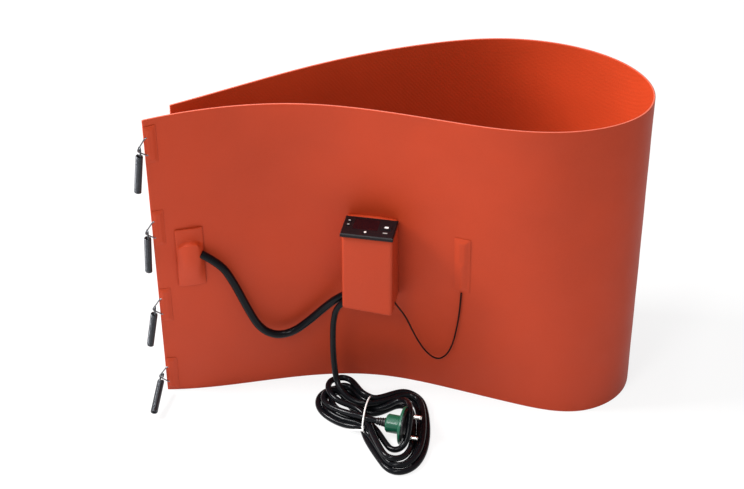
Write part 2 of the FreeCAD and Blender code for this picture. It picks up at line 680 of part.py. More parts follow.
for (left, right), y in ((small_switch, "dim.up_key_y"), (small_switch, "dim.down_key_y"),
                         (set_switch, "dim.set_key_y")):
    pad(switches, rectangle(switches, "XY_Plane", left, right,
                            "-" + y + " - dim.switch_width / 2", "-" + y + " + dim.switch_width / 2",
                            display_board_top), switch_top)
main_board = new_body("circuit_board", box_place)
board_back = "(" + case_back + " + dim.case_wall + dim.board_stand)"
pad(main_board, rectangle(main_board, "XY_Plane", "-" + inner_side, inner_side, "-" + board_back +
                          " - dim.board_thick", "-" + board_back, "dim.box_base + dim.board_inset"),
    display_board_top + " - dim.board_thick - 1 - (dim.box_base + dim.board_inset)")
board_face = "(" + board_back + " + dim.board_thick)"
board_end = "(" + case_side + " - dim.case_wall)"
for label, left, right, gap, low, tall in (
        ("power_relay", "-" + board_end + " + 2.2", "-1", "dim.relay_gap", "150", "19"),
        ("transformer", "1.5", board_end + " - 2.2", "dim.transformer_gap", "148", "22"),
        ("terminal_block", "-" + board_end + " + 3.7", board_end + " - 3.7", "dim.terminal_gap", "131", "10")):
    block = new_body(label, box_place)
    pad(block, rectangle(block, "XY_Plane", left, right, "-" + case_front + " + dim.case_wall + " + gap,
                         "-" + board_face, low), tall)

# Cables.  The routes are points chosen by hand.

LEAD_ROUTE = ((40.0, 157.6, 5.2), (56.5, 146.0, 7.0), (67.0, 126.0, 8.5), (80.0, 90.0, 9.5), (88.5, 71.0, 10.0),
              (102.0, 60.5, 10.0), (119.5, 60.5, 10.0), (138.0, 72.0, 10.5), (152.0, 90.0, 11.5))
lead_points = [off_sheet(station, height, rise) for station, height, rise in LEAD_ROUTE]
lead_points += [lead_hole_run[0], lead_hole_run[0] + (lead_hole_run[1] - lead_hole_run[0]) * 0.8]
cord("heater_lead", lead_points, size("lead_radius"))

CORD_ROUTE = ((-62.6, -57.2, 86.0), (-62.8, -57.0, 69.0), (-62.5, -57.0, 51.5), (-60.8, -58.0, 36.5),
              (-56.5, -62.0, 25.0))
cord_points = [cord_hole_run[0] + (cord_hole_run[1] - cord_hole_run[0]) * 0.85, cord_hole_run[0]]
cord_points += [Vector(*point) for point in CORD_ROUTE]
cord_points.append(Vector(-56.5, -62.0, size("hank_height") + 0.1))
cord("mains_cord", cord_points, size("cord_radius"))

WIRE_ROUTE = ((229.5, 88.0, 11.0), (238.5, 62.0, 8.5), (247.0, 45.0, 6.5), (256.0, 37.0, 5.0), (264.5, 42.5, 4.0),
              (271.0, 58.0, 3.5), (275.0, 82.0, 3.0), (277.0, 103.0, 2.2))
wire_points = [wire_hole_run[0] + (wire_hole_run[1] - wire_hole_run[0]) * 0.2, wire_hole_run[1]]
wire_points += [off_sheet(station, height, rise) for station, height, rise in WIRE_ROUTE]
wire_points.append(off_sheet(sensor_middle, size("sensor_base") - 0.2, 1.3))
cord("sensor_wire", wire_points, size("probe_radius"))

# Tied hank of mains cord on the ground in front

HANK_LINE = ((-30, -85), (-17, -70), (2, -56), (14, -54), (24, -75), (27.5, -107), (23, -139), (11, -161),
             (-2, -172), (-12, -161), (-22, -137), (-31, -112), (-43, -107), (-57, -107), (-70, -97),
             (-79, -80), (-75, -58), (-66, -43), (-52, -38), (-40, -50))
RIGHT_EYE = ((-21.5, -99), (-9, -85), (5, -86), (15, -97), (21.8, -113), (21, -131), (9, -148), (-3, -151),
             (-19, -125), (-24.4, -107))
LEFT_EYE = ((-74, -73), (-65, -66), (-58, -74), (-54, -92), (-64, -90))


def flat_shape(points, height):
    ring = Part.makePolygon([Vector(x, y, 0) for x, y in points] + [Vector(points[0][0], points[0][1], 0)])
    return Part.Face(ring).extrude(Vector(0, 0, height))


hank_curve = Part.BSplineCurve()
hank_curve.interpolate([Vector(x, y, 0) for x, y in HANK_LINE], True)
hank = Part.Face(Part.Wire([hank_curve.toShape()])).extrude(Vector(0, 0, size("hank_height")))
hank = hank.cut(flat_shape(RIGHT_EYE, size("hank_height"))).cut(flat_shape(LEFT_EYE, size("hank_height")))
tie_x = -31.0
tie_back = -81.5
tie_front = -114.0
tie_thick = size("tie_thick")
tie_width = size("tie_width")
groove = Part.makeBox(tie_width + 0.6, tie_back - tie_front, size("hank_height"),
                      Vector(tie_x - tie_width / 2 - 0.3, tie_front, 0))
core = Part.makeBox(tie_width + 2, tie_back - tie_front - 2 * tie_thick - 0.6, size("hank_height") - 2 * tie_thick - 0.6,
                    Vector(tie_x - tie_width / 2 - 1, tie_front + tie_thick + 0.3, tie_thick + 0.3))
hank = hank.cut(groove.cut(core))

# The hank's last stretch runs on to the plug
plug_place = Placement(Vector(0.8, -122.0, size("plug_height")), Rotation(Vector(0, 0, 1), size("plug_yaw")) *
                       Rotation(Vector(1, 0, 0), size("plug_roll")))
guard_end = -size("neck_length") - size("guard_length") - 0.1
stretch = [plug_place.multVec(Vector(guard_end, 0, 0)), plug_place.multVec(Vector(guard_end - 10.5, 0, 0)),
           Vector(-46.0, -105.0, 8.5)]
hank = hank.fuse(swept(rounded_path(stretch, cord_bends(stretch)), size("cord_radius")))
feature("mains_hank", hank)

tie_outer = Part.makeBox(tie_width, tie_back - tie_front, size("hank_height"),
                         Vector(tie_x - tie_width / 2, tie_front, 0))
tie_outer = tie_outer.makeFillet(tie_thick, [edge for edge in tie_outer.Edges
                                             if edge.BoundBox.XLength > tie_width - 0.01])
tie_inner = Part.makeBox(tie_width + 2, tie_back - tie_front - 2 * tie_thick, size("hank_height") - 2 * tie_thick,
                         Vector(tie_x - tie_width / 2 - 1, tie_front + tie_thick, tie_thick))
tie = tie_outer.cut(tie_inner)
for end in (Vector(-49, -115.5, 0.9), Vector(-28.5, -121, 0.9)):
    tie = tie.fuse(bar(Vector(tie_x, tie_front + 0.5, 0.9), end, 0.85))
feature("hank_tie", tie)

# Plug.  Its own frame: X along the pins, origin in the flange's back face.

plug = new_body("plug_body", plug_place)
turned(plug, (("-dim.neck_length", "0"), ("-dim.neck_length", "dim.neck_radius - 1.5"),
              ("-dim.neck_length + 1.5", "dim.neck_radius"), ("-2.5", "dim.neck_radius"),
              ("0", "dim.flange_radius - 0.6"), ("0.6", "dim.flange_radius"),
              ("dim.flange_thick", "dim.flange_radius"), ("dim.flange_thick", "0")))
face = new_body("plug_face", plug_place)
turned(face, (("dim.flange_thick", "0"), ("dim.flange_thick", "dim.face_radius"),
              ("dim.flange_thick + dim.face_thick - 0.8", "dim.face_radius"),
              ("dim.flange_thick + dim.face_thick", "dim.face_radius - 0.8"),
              ("dim.flange_thick + dim.face_thick", "0")))
face_x = "(dim.flange_thick + dim.face_thick)"
pins = []
for label, sign in (("plug_pin_upper", ""), ("plug_pin_lower", "-")):
    pin = new_body(label, plug_place)
    pad(pin, circle(pin, "YZ_Plane", "0", sign + "dim.pin_pitch / 2", "dim.pin_radius", face_x), "dim.pin_length")
    dress(pin, "Fillet", lambda edge: edge.BoundBox.XMin > value(face_x) + 1, "dim.pin_radius * 0.6")
guard = new_body("plug_cord_guard", plug_place)
turned(guard, (("-dim.neck_length - dim.guard_length", "0"), ("-dim.neck_length - dim.guard_length", "dim.cord_radius"),
               ("-dim.neck_length", "dim.cord_radius + 1.6"), ("-dim.neck_length", "0")))

# Check and write

doc.recompute()
for item in doc.Objects:
    if "Invalid" in item.State or "Error" in item.State:
        raise RuntimeError("%s did not compute: %s" % (item.Label, item.State))
os.makedirs("parts", exist_ok=True)
triangles = 0
for item in parts:
    shape = item.Shape
    if shape.isNull() or not shape.isValid():
        raise RuntimeError(item.Label + " is not a valid shape")
    triangles += len(shape.tessellate(0.1)[1])
    print("%-18s solids %d tri %6d volume %9.1f  box %s" % (item.Label, len(shape.Solids),
          len(shape.tessellate(0.1)[1]), shape.Volume,
          [round(v, 1) for v in (shape.BoundBox.XMin, shape.BoundBox.XMax, shape.BoundBox.YMin,
                                 shape.BoundBox.YMax, shape.BoundBox.ZMin, shape.BoundBox.ZMax)]))
    shape.exportStep("parts/%s.step" % item.Label)
print("sub-parts", len(parts), "triangles", triangles, "band length", round(band_length, 1))
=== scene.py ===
import math

import bmesh
import bpy
import numpy as np
from mathutils import Matrix, Vector


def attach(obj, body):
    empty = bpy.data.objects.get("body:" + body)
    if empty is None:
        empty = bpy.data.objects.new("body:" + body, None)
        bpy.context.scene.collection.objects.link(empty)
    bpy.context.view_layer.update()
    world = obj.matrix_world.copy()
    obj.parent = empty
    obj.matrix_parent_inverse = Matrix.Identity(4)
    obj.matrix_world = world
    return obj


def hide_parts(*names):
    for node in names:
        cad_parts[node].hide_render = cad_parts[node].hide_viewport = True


bl_info = {
    "name": "Drum Heater Band",
    "version": (1, 0, 0),
    "blender": (4, 5, 0),
    "location": "View3D > Sidebar > Heater Band",
    "description": "Silicone drum heater band with its controller, springs and mains cord",
    "category": "Add Mesh",
}

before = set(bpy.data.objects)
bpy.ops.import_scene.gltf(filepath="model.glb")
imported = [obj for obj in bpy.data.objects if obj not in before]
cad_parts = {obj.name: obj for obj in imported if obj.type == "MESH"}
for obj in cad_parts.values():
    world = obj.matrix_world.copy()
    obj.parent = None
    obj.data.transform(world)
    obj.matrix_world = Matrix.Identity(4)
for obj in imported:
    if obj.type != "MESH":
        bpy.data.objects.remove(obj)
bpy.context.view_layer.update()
MM = 0.001
ROWS = (1, 2, 3, 4)
ROW_HEIGHTS = (21.0, 102.0, 188.0, 275.0)


# Sizes and colours that a user would change


def colour_choice(name, description, default):
    return bpy.props.FloatVectorProperty(name=name, description=description, default=default, size=3,
                                         subtype="COLOR", min=0.0, max=1.0)


def length_choice(name, description, default):
    return bpy.props.FloatProperty(name=name, description=description, default=default, min=0.0,
                                   subtype="DISTANCE", unit="LENGTH", precision=5)


class HeaterColours(bpy.types.PropertyGroup):
    silicone: colour_choice("Silicone", "Heating sheet, patches and controller pocket", (0.375, 0.0345, 0.0072))
    silicone_edge: colour_choice("Silicone edge", "Cut edge of the sheet", (0.55, 0.12, 0.075))
    spring: colour_choice("Springs", "Spring steel", (0.075, 0.078, 0.086))
    wire: colour_choice("Links", "Drawn wire of the links and catches", (0.22, 0.22, 0.235))
    lead: colour_choice("Heater lead", "Rubber of the thick lead", (0.0030, 0.0032, 0.0045))
    cord: colour_choice("Mains cord", "Jacket of the mains cord", (0.0036, 0.0040, 0.0052))
    plug: colour_choice("Plug", "Green moulding of the plug", (0.004, 0.075, 0.040))
    plug_face: colour_choice("Plug face", "Black insert and pins", (0.006, 0.006, 0.007))
    tie: colour_choice("Tie", "Plastic of the twist tie", (0.78, 0.78, 0.76))
    panel: colour_choice("Panel", "Controller panel", (0.0055, 0.004, 0.005))
    window: colour_choice("Window", "Display window", (0.009, 0.0015, 0.0035))
    # Pale colour of the bezel's printed label, and of the painted highlights on the up, down and set keys.
    mark: colour_choice("Key marks", "Pale marks on keys and lamp", (0.62, 0.60, 0.58))


class HeaterSizes(bpy.types.PropertyGroup):
    rim: length_choice("Rim", "Rounding of the sheet's edges", 0.0006)
    coil_radius: length_choice("Coil radius", "Middle of the spring wire", 0.0025)
    coil_wire: length_choice("Spring wire", "Spring wire radius", 0.0008)
    coil_turns: bpy.props.IntProperty(name="Coil turns", description="Closed turns of a spring", default=23,
                                      min=3, max=60)
    lead_diameter: length_choice("Heater lead", "Diameter of the heater lead", 0.0074)
    cord_diameter: length_choice("Mains cord", "Diameter of the mains cord", 0.0056)
    wire_diameter: length_choice("Sensor wire", "Diameter of the sensor wire", 0.0015)
    guard_rings: bpy.props.IntProperty(name="Guard rings", description="Rings of the plug's cord guard", default=4,
                                       min=2, max=8)


class HeaterStage(bpy.types.PropertyGroup):
    key_power: bpy.props.FloatProperty(name="Key light", description="Soft light over the left shoulder",
                                       default=8.5, min=0.0, unit="POWER")
    top_power: bpy.props.FloatProperty(name="Top light", description="Light from high on the left, into the loop",
                                       default=46.0, min=0.0, unit="POWER")
    strip_power: bpy.props.FloatProperty(name="Strip light", description="Narrow light that the cords reflect",
                                         default=5.5, min=0.0, unit="POWER")
    room_light: bpy.props.FloatProperty(name="Room light", description="Even light from all round", default=0.49,
                                        min=0.0, max=2.0)
    lens: bpy.props.FloatProperty(name="Lens", description="Camera focal length", default=83.25, min=10.0,
                                  unit="CAMERA")


def colours():
    return bpy.context.scene.heater_colours


def sizes():
    return bpy.context.scene.heater_sizes


# Shader maths written as expressions


class Shade:
    """Wraps a node socket, so that maths on it adds the nodes."""

    def __init__(self, tree, socket):
        self.tree = tree
        self.socket = socket

    def maths(self, operation, *values):
        return new_node(self.tree, "ShaderNodeMath", {"operation": operation},
                        dict(enumerate(values))).out(0)

    def __add__(self, other):
        return self.maths("ADD", self, other)

    __radd__ = __add__

    def __sub__(self, other):
        return self.maths("SUBTRACT", self, other)

    def __rsub__(self, other):
        return self.maths("SUBTRACT", other, self)

    def __mul__(self, other):
        return self.maths("MULTIPLY", self, other)

    __rmul__ = __mul__

    def __truediv__(self, other):
        return self.maths("DIVIDE", self, other)

    def __pow__(self, other):
        return self.maths("POWER", self, other)

    def __abs__(self):
        return self.maths("ABSOLUTE", self)

    def clamp(self):
        return self.maths("MINIMUM", self.maths("MAXIMUM", self, 0.0), 1.0)

    def step(self, low, high):
        """Smooth rise from 0 at low to 1 at high."""
        return new_node(self.tree, "ShaderNodeMapRange", {"interpolation_type": "SMOOTHSTEP"},
                        {0: self, 1: low, 2: high}).out(0)


class Added:
    """A node with its tree, for reading its outputs."""

    def __init__(self, tree, item):
        self.tree = tree
        self.item = item

    def out(self, name):
        return Shade(self.tree, self.item.outputs[name])


def new_node(tree, kind, settings=None, sockets=None):
    """Any node: its settings first, then the values or links of its sockets."""
    item = tree.nodes.new(kind)
    for name, setting in (settings or {}).items():
        setattr(item, name, setting)
    for name, given in (sockets or {}).items():
        socket = item.inputs[name]
        if isinstance(given, Shade):
            tree.links.new(given.socket, socket)
        else:
            socket.default_value = given
    return Added(tree, item)


class Finish:
    """A material with its shader, and the patterns that feed it."""

    def __init__(self, name, **constants):
        self.material = bpy.data.materials.new(name)
        self.material.use_nodes = True
        self.tree = self.material.node_tree
        self.shader = self.tree.nodes["Principled BSDF"]
        for socket, given in constants.items():
            self.shader.inputs[socket.replace("_", " ")].default_value = given
        self.place = new_node(self.tree, "ShaderNodeTexCoord").out("Object")

    def turned(self, location=(0, 0, 0), rotation=(0, 0, 0), scale=(1, 1, 1)):
        return new_node(self.tree, "ShaderNodeMapping", None,
                        {"Vector": self.place, "Location": location, "Rotation": rotation, "Scale": scale}).out(0)

    def noise(self, scale, detail=3.0, vector=None):
        return new_node(self.tree, "ShaderNodeTexNoise", None,
                        {"Vector": vector or self.place, "Scale": scale, "Detail": detail,
                         "Roughness": 0.55}).out(0)

    def cells(self, scale):
        return new_node(self.tree, "ShaderNodeTexVoronoi", None,
                        {"Vector": self.place, "Scale": scale}).out("Distance")

    def axis(self, name, vector=None):
        return new_node(self.tree, "ShaderNodeSeparateXYZ", None, {0: vector or self.place}).out(name)

    def mix(self, factor, first, second):
        def tint(given):
            return given if isinstance(given, Shade) else tuple(given)[:3] + (1.0,)

        return new_node(self.tree, "ShaderNodeMix", {"data_type": "RGBA"},
                        {0: factor, 6: tint(first), 7: tint(second)}).out(2)

    def feed(self, socket, value):
        self.tree.links.new(value.socket, self.shader.inputs[socket])

    def bump(self, height, distance):
        """Bump of a height from 0 to 1, over a distance in metres."""
        bump = new_node(self.tree, "ShaderNodeBump", None, {"Distance": distance, "Height": height})
        self.feed("Normal", bump.out("Normal"))


def shaded(tint, factor):
    return tuple(min(1.0, channel * factor) for channel in tuple(tint)[:3])


# Finishes


def silicone_finish():
    """Calendered silicone rubber: faint mottling, dust and a fine skin, with painted shade darkening its lowest 160 mm
    towards the floor.
    """
    base = tuple(colours().silicone)
    finish = Finish("red_silicone", Specular_IOR_Level=0.22)
    cloud = finish.noise(9.0, 4.0)
    speck = finish.noise(700.0, 2.0)
    tint = finish.mix(cloud.step(0.30, 0.72), shaded(base, 0.93), shaded(base, 1.08))
    tint = finish.mix((speck - 0.5) * 0.5 + 0.25, tint, shaded(base, 1.22))
    # Painted shade: the colour darkens over the lowest 160 mm, most strongly at the foot.
    low = 1.0 - finish.axis("Z").step(0.0, 0.16)
    tint = finish.mix(low * 0.30, tint, shaded(base, 0.62))
    finish.feed("Base Color", tint)
    finish.feed("Roughness", finish.noise(40.0, 3.0) * 0.14 + 0.50)
    weave = finish.cells(1500.0)
    finish.bump(weave * 0.35 + finish.noise(130.0, 3.0) * 0.65, 0.00012)
    return finish.material


def silicone_edge_finish():
    """Cut edge of the sheet: paler, with the glass cloth's fibres just showing."""
    edge = tuple(colours().silicone_edge)
    finish = Finish("silicone_edge", Specular_IOR_Level=0.35)
    fibres = finish.noise(900.0, 2.0)
    finish.feed("Base Color", finish.mix(fibres.step(0.35, 0.65), shaded(edge, 0.82), shaded(edge, 1.1)))
    finish.feed("Roughness", fibres * 0.2 + 0.5)
    finish.bump(fibres, 0.0001)
    return finish.material


def inner_silicone_finish():
    """Inner face, which lies on the drum: painted lighter than the outer face to stand in for the light that falls
    into the loop, with the press cloth's weave.
    """
    base = tuple(colours().silicone)
    finish = Finish("inner_silicone", Specular_IOR_Level=0.2)
    cloud = finish.noise(7.0, 4.0)
    # Painted light: a lighter copy of the sheet's silicone colour, standing in for light falling on the inner face.
    finish.feed("Base Color", finish.mix(cloud.step(0.3, 0.7), shaded(base, 1.16), shaded(base, 1.34)))
    finish.feed("Roughness", cloud * 0.14 + 0.52)
    threads, cross = (
        new_node(finish.tree, "ShaderNodeTexWave", {"wave_type": "BANDS", "bands_direction": direction},
                 {"Vector": finish.place, "Scale": scale, "Distortion": distortion}).out("Fac")
        for direction, scale, distortion in (("Z", 210.0, 0.6), ("DIAGONAL", 150.0, 0.4)))
    finish.bump(threads * 0.5 + cross * 0.5, 0.00008)
    return finish.material


def steel_finish(name, tint, grain, rough):
    """Drawn steel: fine streaks, a little oil in the hollows."""
    finish = Finish(name, Metallic=1.0)
    streak = finish.noise(grain, 3.0)
    stain = finish.noise(160.0, 3.0)
    colour = finish.mix(streak, shaded(tint, 0.82), shaded(tint, 1.12))
    finish.feed("Base Color", finish.mix(stain.step(0.55, 0.85) * 0.4, colour, shaded(tint, 0.45)))
    finish.feed("Roughness", streak * 0.14 + rough)
    finish.bump(streak, 0.00003)
    return finish.material


def rubber_finish(name, tint, rough, gloss):
    """Extruded rubber: shiny, with faint draw lines and dust."""
    finish = Finish(name, Specular_IOR_Level=gloss)
    dust = finish.noise(380.0, 3.0)
    cloud = finish.noise(60.0, 2.0)
    colour = finish.mix(cloud, shaded(tint, 0.75), shaded(tint, 1.3))
    finish.feed("Base Color", finish.mix(dust.step(0.66, 0.9) * 0.25, colour, (0.05, 0.05, 0.055)))
    finish.feed("Roughness", cloud * 0.12 + rough)
    finish.bump(dust * 0.5 + finish.noise(2400.0, 1.0) * 0.5, 0.00004)
    return finish.material


def plastic_finish(name, tint, rough, grain=1400.0, depth=0.00003, coat=0.0):
    """Moulded plastic: spark-eroded grain, with wear in the gloss."""
    finish = Finish(name, Specular_IOR_Level=0.5, Coat_Weight=coat, Coat_Roughness=0.08)
    cloud = finish.noise(120.0, 3.0)
    speck = finish.noise(grain, 2.0)
    finish.feed("Base Color", finish.mix(cloud, shaded(tint, 0.86), shaded(tint, 1.15)))
    finish.feed("Roughness", cloud * 0.12 + rough)
    finish.bump(speck, depth)
    return finish.material


def window_finish():
    """Smoked red window over the unlit digits."""
    tint = tuple(colours().window)
    finish = Finish("red_window", Specular_IOR_Level=0.35)
    depth = finish.noise(90.0, 2.0)
    finish.feed("Base Color", finish.mix(depth, shaded(tint, 0.7), shaded(tint, 1.35)))
    finish.feed("Roughness", finish.noise(240.0, 3.0) * 0.08 + 0.14)
    finish.bump(finish.noise(300.0, 1.0), 0.00001)
    return finish.material


def marked_finish(name, pale, middle, half_width, half_depth, turn, rough):
    """The panel's dark plastic, with one pale bar or dot: a printed label on the bezel, a painted highlight on the
    keys.
    """
    dark = tuple(colours().panel)
    finish = Finish(name, Specular_IOR_Level=0.16)
    local = finish.turned(location=tuple(Matrix.Rotation(-turn, 3, "Z") @ -Vector(middle)),
                          rotation=(0.0, 0.0, -turn))
    across = abs(finish.axis("X", local)) / half_width
    deep = abs(finish.axis("Y", local)) / half_depth
    # Pale spot: a printed label on the bezel, a painted highlight on the keys.
    mark = 1.0 - (across ** 4.0 + deep ** 4.0).step(0.7, 1.1)
    grime = finish.noise(900.0, 2.0)
    finish.feed("Base Color", finish.mix(mark, finish.mix(grime, dark, shaded(dark, 1.7)),
                                         shaded(colours().mark, pale)))
    finish.feed("Roughness", grime * 0.12 + rough)
    finish.bump(mark + grime * 0.2, 0.00004)
    return finish.material


def board_finish():
    """Green laminate with its copper tracks."""
    tint = (0.012, 0.10, 0.035)
    finish = Finish("board_laminate", Specular_IOR_Level=0.5)
    tracks = new_node(finish.tree, "ShaderNodeTexBrick", {"offset": 0.4},
                      {"Vector": finish.place, "Scale": 160.0, "Mortar Size": 0.012}).out("Fac")
    finish.feed("Base Color", finish.mix(tracks, tint, shaded(tint, 2.2)))
    finish.feed("Roughness", finish.noise(400.0, 2.0) * 0.15 + 0.3)
    finish.bump(tracks, 0.00003)
    return finish.material


# The band's line, through the same points as its source


TOP_LINE = ((-217, -61.5), (-154, -40.5), (-88, -34.7), (-23, -45.5), (40, -64.3), (105, -79.5),
            (170, -72.3), (208, -43), (216, -12), (200, 31), (161, 63.5), (93, 81.3), (24, 71.7),
            (-75, 34), (-136, 0.2), (-197, -35))
FOOT_LINE = ((-217, -52), (-151, -43.9), (-86, -31.7), (-20, -30.7), (43, -48.5), (105, -71.7),
             (170, -81.6), (208, -54), (217, -20), (202, 27), (161, 62), (93, 80.5), (24, 71.7),
             (-75, 34), (-136, 0.2), (-197, -35))
BAND_HEIGHT = 300.0
BAND_THICK = 2.0
SKIN = 0.12  # how far the scene's outer face lies under the source's
LOOK_DEPTH = 10.0  # distance over which the way outward is taken
BOND = 0.02  # underside of what is stuck to the sheet, off its face


class SheetLine:
    """Cubic spline by chord length, with lengths along it.  Millimetres."""

    def __init__(self, points):
        given = np.array(points, float)
        gaps = np.linalg.norm(np.diff(given, axis=0), axis=1)
        self.knots = np.concatenate([[0.0], np.cumsum(gaps)])
        self.given = given
        count = len(given)
        system = np.zeros((count, count))
        right = np.zeros((count, 2))
        system[0, 0] = system[-1, -1] = 1.0
        right[0] = self.end_slope(slice(0, 4), self.knots[0])
        right[-1] = self.end_slope(slice(count - 4, count), self.knots[-1])
        for row in range(1, count - 1):
            before, after = gaps[row - 1], gaps[row]
            system[row, row - 1:row + 2] = after, 2 * (before + after), before
            right[row] = 3 * (after / before * (given[row] - given[row - 1]) +
                              before / after * (given[row + 1] - given[row]))
        self.slopes = np.linalg.solve(system, right)
        fine = np.linspace(0, self.knots[-1], 8001)
        spots = self.at(fine)[0]
        self.fine = fine
        self.lengths = np.concatenate([[0.0], np.cumsum(np.linalg.norm(np.diff(spots, axis=0), axis=1))])
        self.length = self.lengths[-1]

    def end_slope(self, part, where):
        """Slope of the cubic through four points at an end."""
        knots = self.knots[part]
        return np.array([np.polyval(np.polyder(np.polyfit(knots - where, self.given[part, axis], 3)), 0.0)
                         for axis in (0, 1)])

    def at(self, parameter):
        spans = np.clip(np.searchsorted(self.knots, parameter, side="right") - 1, 0, len(self.knots) - 2)
        width = (self.knots[spans + 1] - self.knots[spans])[:, None]
        share = (parameter - self.knots[spans])[:, None] / width
        p0, p1 = self.given[spans], self.given[spans + 1]
        m0, m1 = self.slopes[spans] * width, self.slopes[spans + 1] * width
        point = ((2 * share ** 3 - 3 * share ** 2 + 1) * p0 + (share ** 3 - 2 * share ** 2 + share) * m0 +
                 (3 * share ** 2 - 2 * share ** 3) * p1 + (share ** 3 - share ** 2) * m1)
        slope = ((6 * share ** 2 - 6 * share) * p0 + (3 * share ** 2 - 4 * share + 1) * m0 +
                 (6 * share - 6 * share ** 2) * p1 + (3 * share ** 2 - 2 * share) * m1) / width
        return point, slope / np.linalg.norm(slope, axis=1)[:, None]

    def along(self, share):
        inside = np.clip(share, 0.0, 1.0)
        point, way = self.at(np.interp(inside * self.length, self.lengths, self.fine))
        return point + way * ((share - inside) * self.length)[:, None], way


top_line = SheetLine(TOP_LINE)
foot_line = SheetLine(FOOT_LINE)
BAND_LENGTH = (top_line.length + foot_line.length) / 2


def on_sheet(station, height, rise):
    """Places off the sheet's outer face, from stations, heights and rises in millimetres."""
    station, height, rise = np.broadcast_arrays(*(np.asarray(item, float) for item in (station, height, rise)))
    shape = station.shape
    station, height, rise = station.ravel(), height.ravel(), rise.ravel()
    share = (height / BAND_HEIGHT)[:, None]
    top, top_way = top_line.along(station / BAND_LENGTH)
    foot, foot_way = foot_line.along(station / BAND_LENGTH)
    way = top_way * share + foot_way * (1 - share)
    way /= np.linalg.norm(way, axis=1)[:, None]
    away = np.stack([way[:, 1], -way[:, 0]], axis=1)
    flat = top * share + foot * (1 - share) + away * rise[:, None]
    return np.column_stack([flat, height]).reshape(shape + (3,))


# Meshes


def linked(name, data):
    """New object in the scene, with its mesh or curve."""
    item = bpy.data.objects.new(name, data)
    bpy.context.collection.objects.link(item)
    return item


def new_piece(name, vertices, faces, materials, smooth=True):
    mesh = bpy.data.meshes.new(name)
    mesh.from_pydata([tuple(spot) for spot in vertices], [], faces)
    mesh.validate()
    for material in materials:
        mesh.materials.append(material)
    if smooth:
        mesh.shade_smooth()
    return linked(name, mesh)


def settle(piece):
    """Turn a piece or a curve, with its modifiers, into one plain mesh."""
    graph = bpy.context.evaluated_depsgraph_get()
    graph.update()
    mesh = bpy.data.meshes.new_from_object(piece.evaluated_get(graph), depsgraph=graph)
    mesh.name = piece.name
    if piece.type == "MESH":
        piece.modifiers.clear()
        piece.data = mesh
        return piece
    name = piece.name
    bpy.data.objects.remove(piece)
    return linked(name, mesh)


def outward_faces(piece):
    """Merge the doubles and point the faces outward."""
    work = bmesh.new()
    work.from_mesh(piece.data)
    bmesh.ops.remove_doubles(work, verts=work.verts, dist=1e-6)
    bmesh.ops.recalc_face_normals(work, faces=work.faces)
    work.to_mesh(piece.data)
    work.free()
    return piece


def rounded(piece, width, segments=3, angle=35.0, levels=0):
    """Bevel the sharp edges, with an optional subdivision, and settle."""
    bevel = piece.modifiers.new("Rounding", "BEVEL")
    bevel.width = width
    bevel.segments = segments
    bevel.limit_method = "ANGLE"
    bevel.angle_limit = math.radians(angle)
    bevel.harden_normals = False
    if levels:
        surface = piece.modifiers.new("Surface", "SUBSURF")
        surface.levels = surface.render_levels = levels
    return settle(piece)


def grid_faces(rows, columns, offset=0, flip=False):
    faces = []
    for row in range(rows - 1):
        for column in range(columns - 1):
            first = offset + row * columns + column
            corner = (first, first + 1, first + columns + 1, first + columns)
            faces.append(corner[::-1] if flip else corner)
    return faces


def ring_faces(rings, around):
    """Faces between rings of equal count, with both ends closed."""
    faces = []
    for ring in range(rings - 1):
        for step in range(around):
            after = (step + 1) % around
            faces.append((ring * around + step, ring * around + after, (ring + 1) * around + after,
                          (ring + 1) * around + step))
    return faces + [tuple(range(around)), tuple(range((rings - 1) * around, rings * around))]


def blanket(name, station, height, upper, lower, materials):
    """Closed slab that follows the sheet, from grids of stations, heights and rises."""
    top, low = (on_sheet(station, height, rise).reshape(-1, 3) for rise in (upper, lower))
    rows, columns = station.shape
    count = rows * columns
    faces = grid_faces(rows, columns) + grid_faces(rows, columns, count, True)
    edge = ([(0, column) for column in range(columns)] + [(row, columns - 1) for row in range(1, rows)] +
            [(rows - 1, column) for column in range(columns - 2, -1, -1)] +
            [(row, 0) for row in range(rows - 2, 0, -1)])
    ring = [row * columns + column for row, column in edge]
    for here, there in zip(ring, ring[1:] + ring[:1]):
        faces.append((here, here + count, there + count, there))
    return outward_faces(new_piece(name, np.vstack([top, low]) * MM, faces, materials))


def nurbs_line(name, route, resolution, scale=1.0):
    """Curve of one open NURBS spline on listed control points."""
    line = bpy.data.curves.new(name, "CURVE")
    line.dimensions = "3D"
    line.resolution_u = resolution
    spline = line.splines.new("NURBS")
    spline.points.add(len(route) - 1)
    for point, spot in zip(spline.points, route):
        point.co = (spot[0] * scale, spot[1] * scale, spot[2] * scale, 1.0)
    spline.order_u = 3
    spline.use_endpoint_u = True
    return line


# Operators


class HeaterOperator(bpy.types.Operator):
    bl_options = {"REGISTER", "UNDO"}


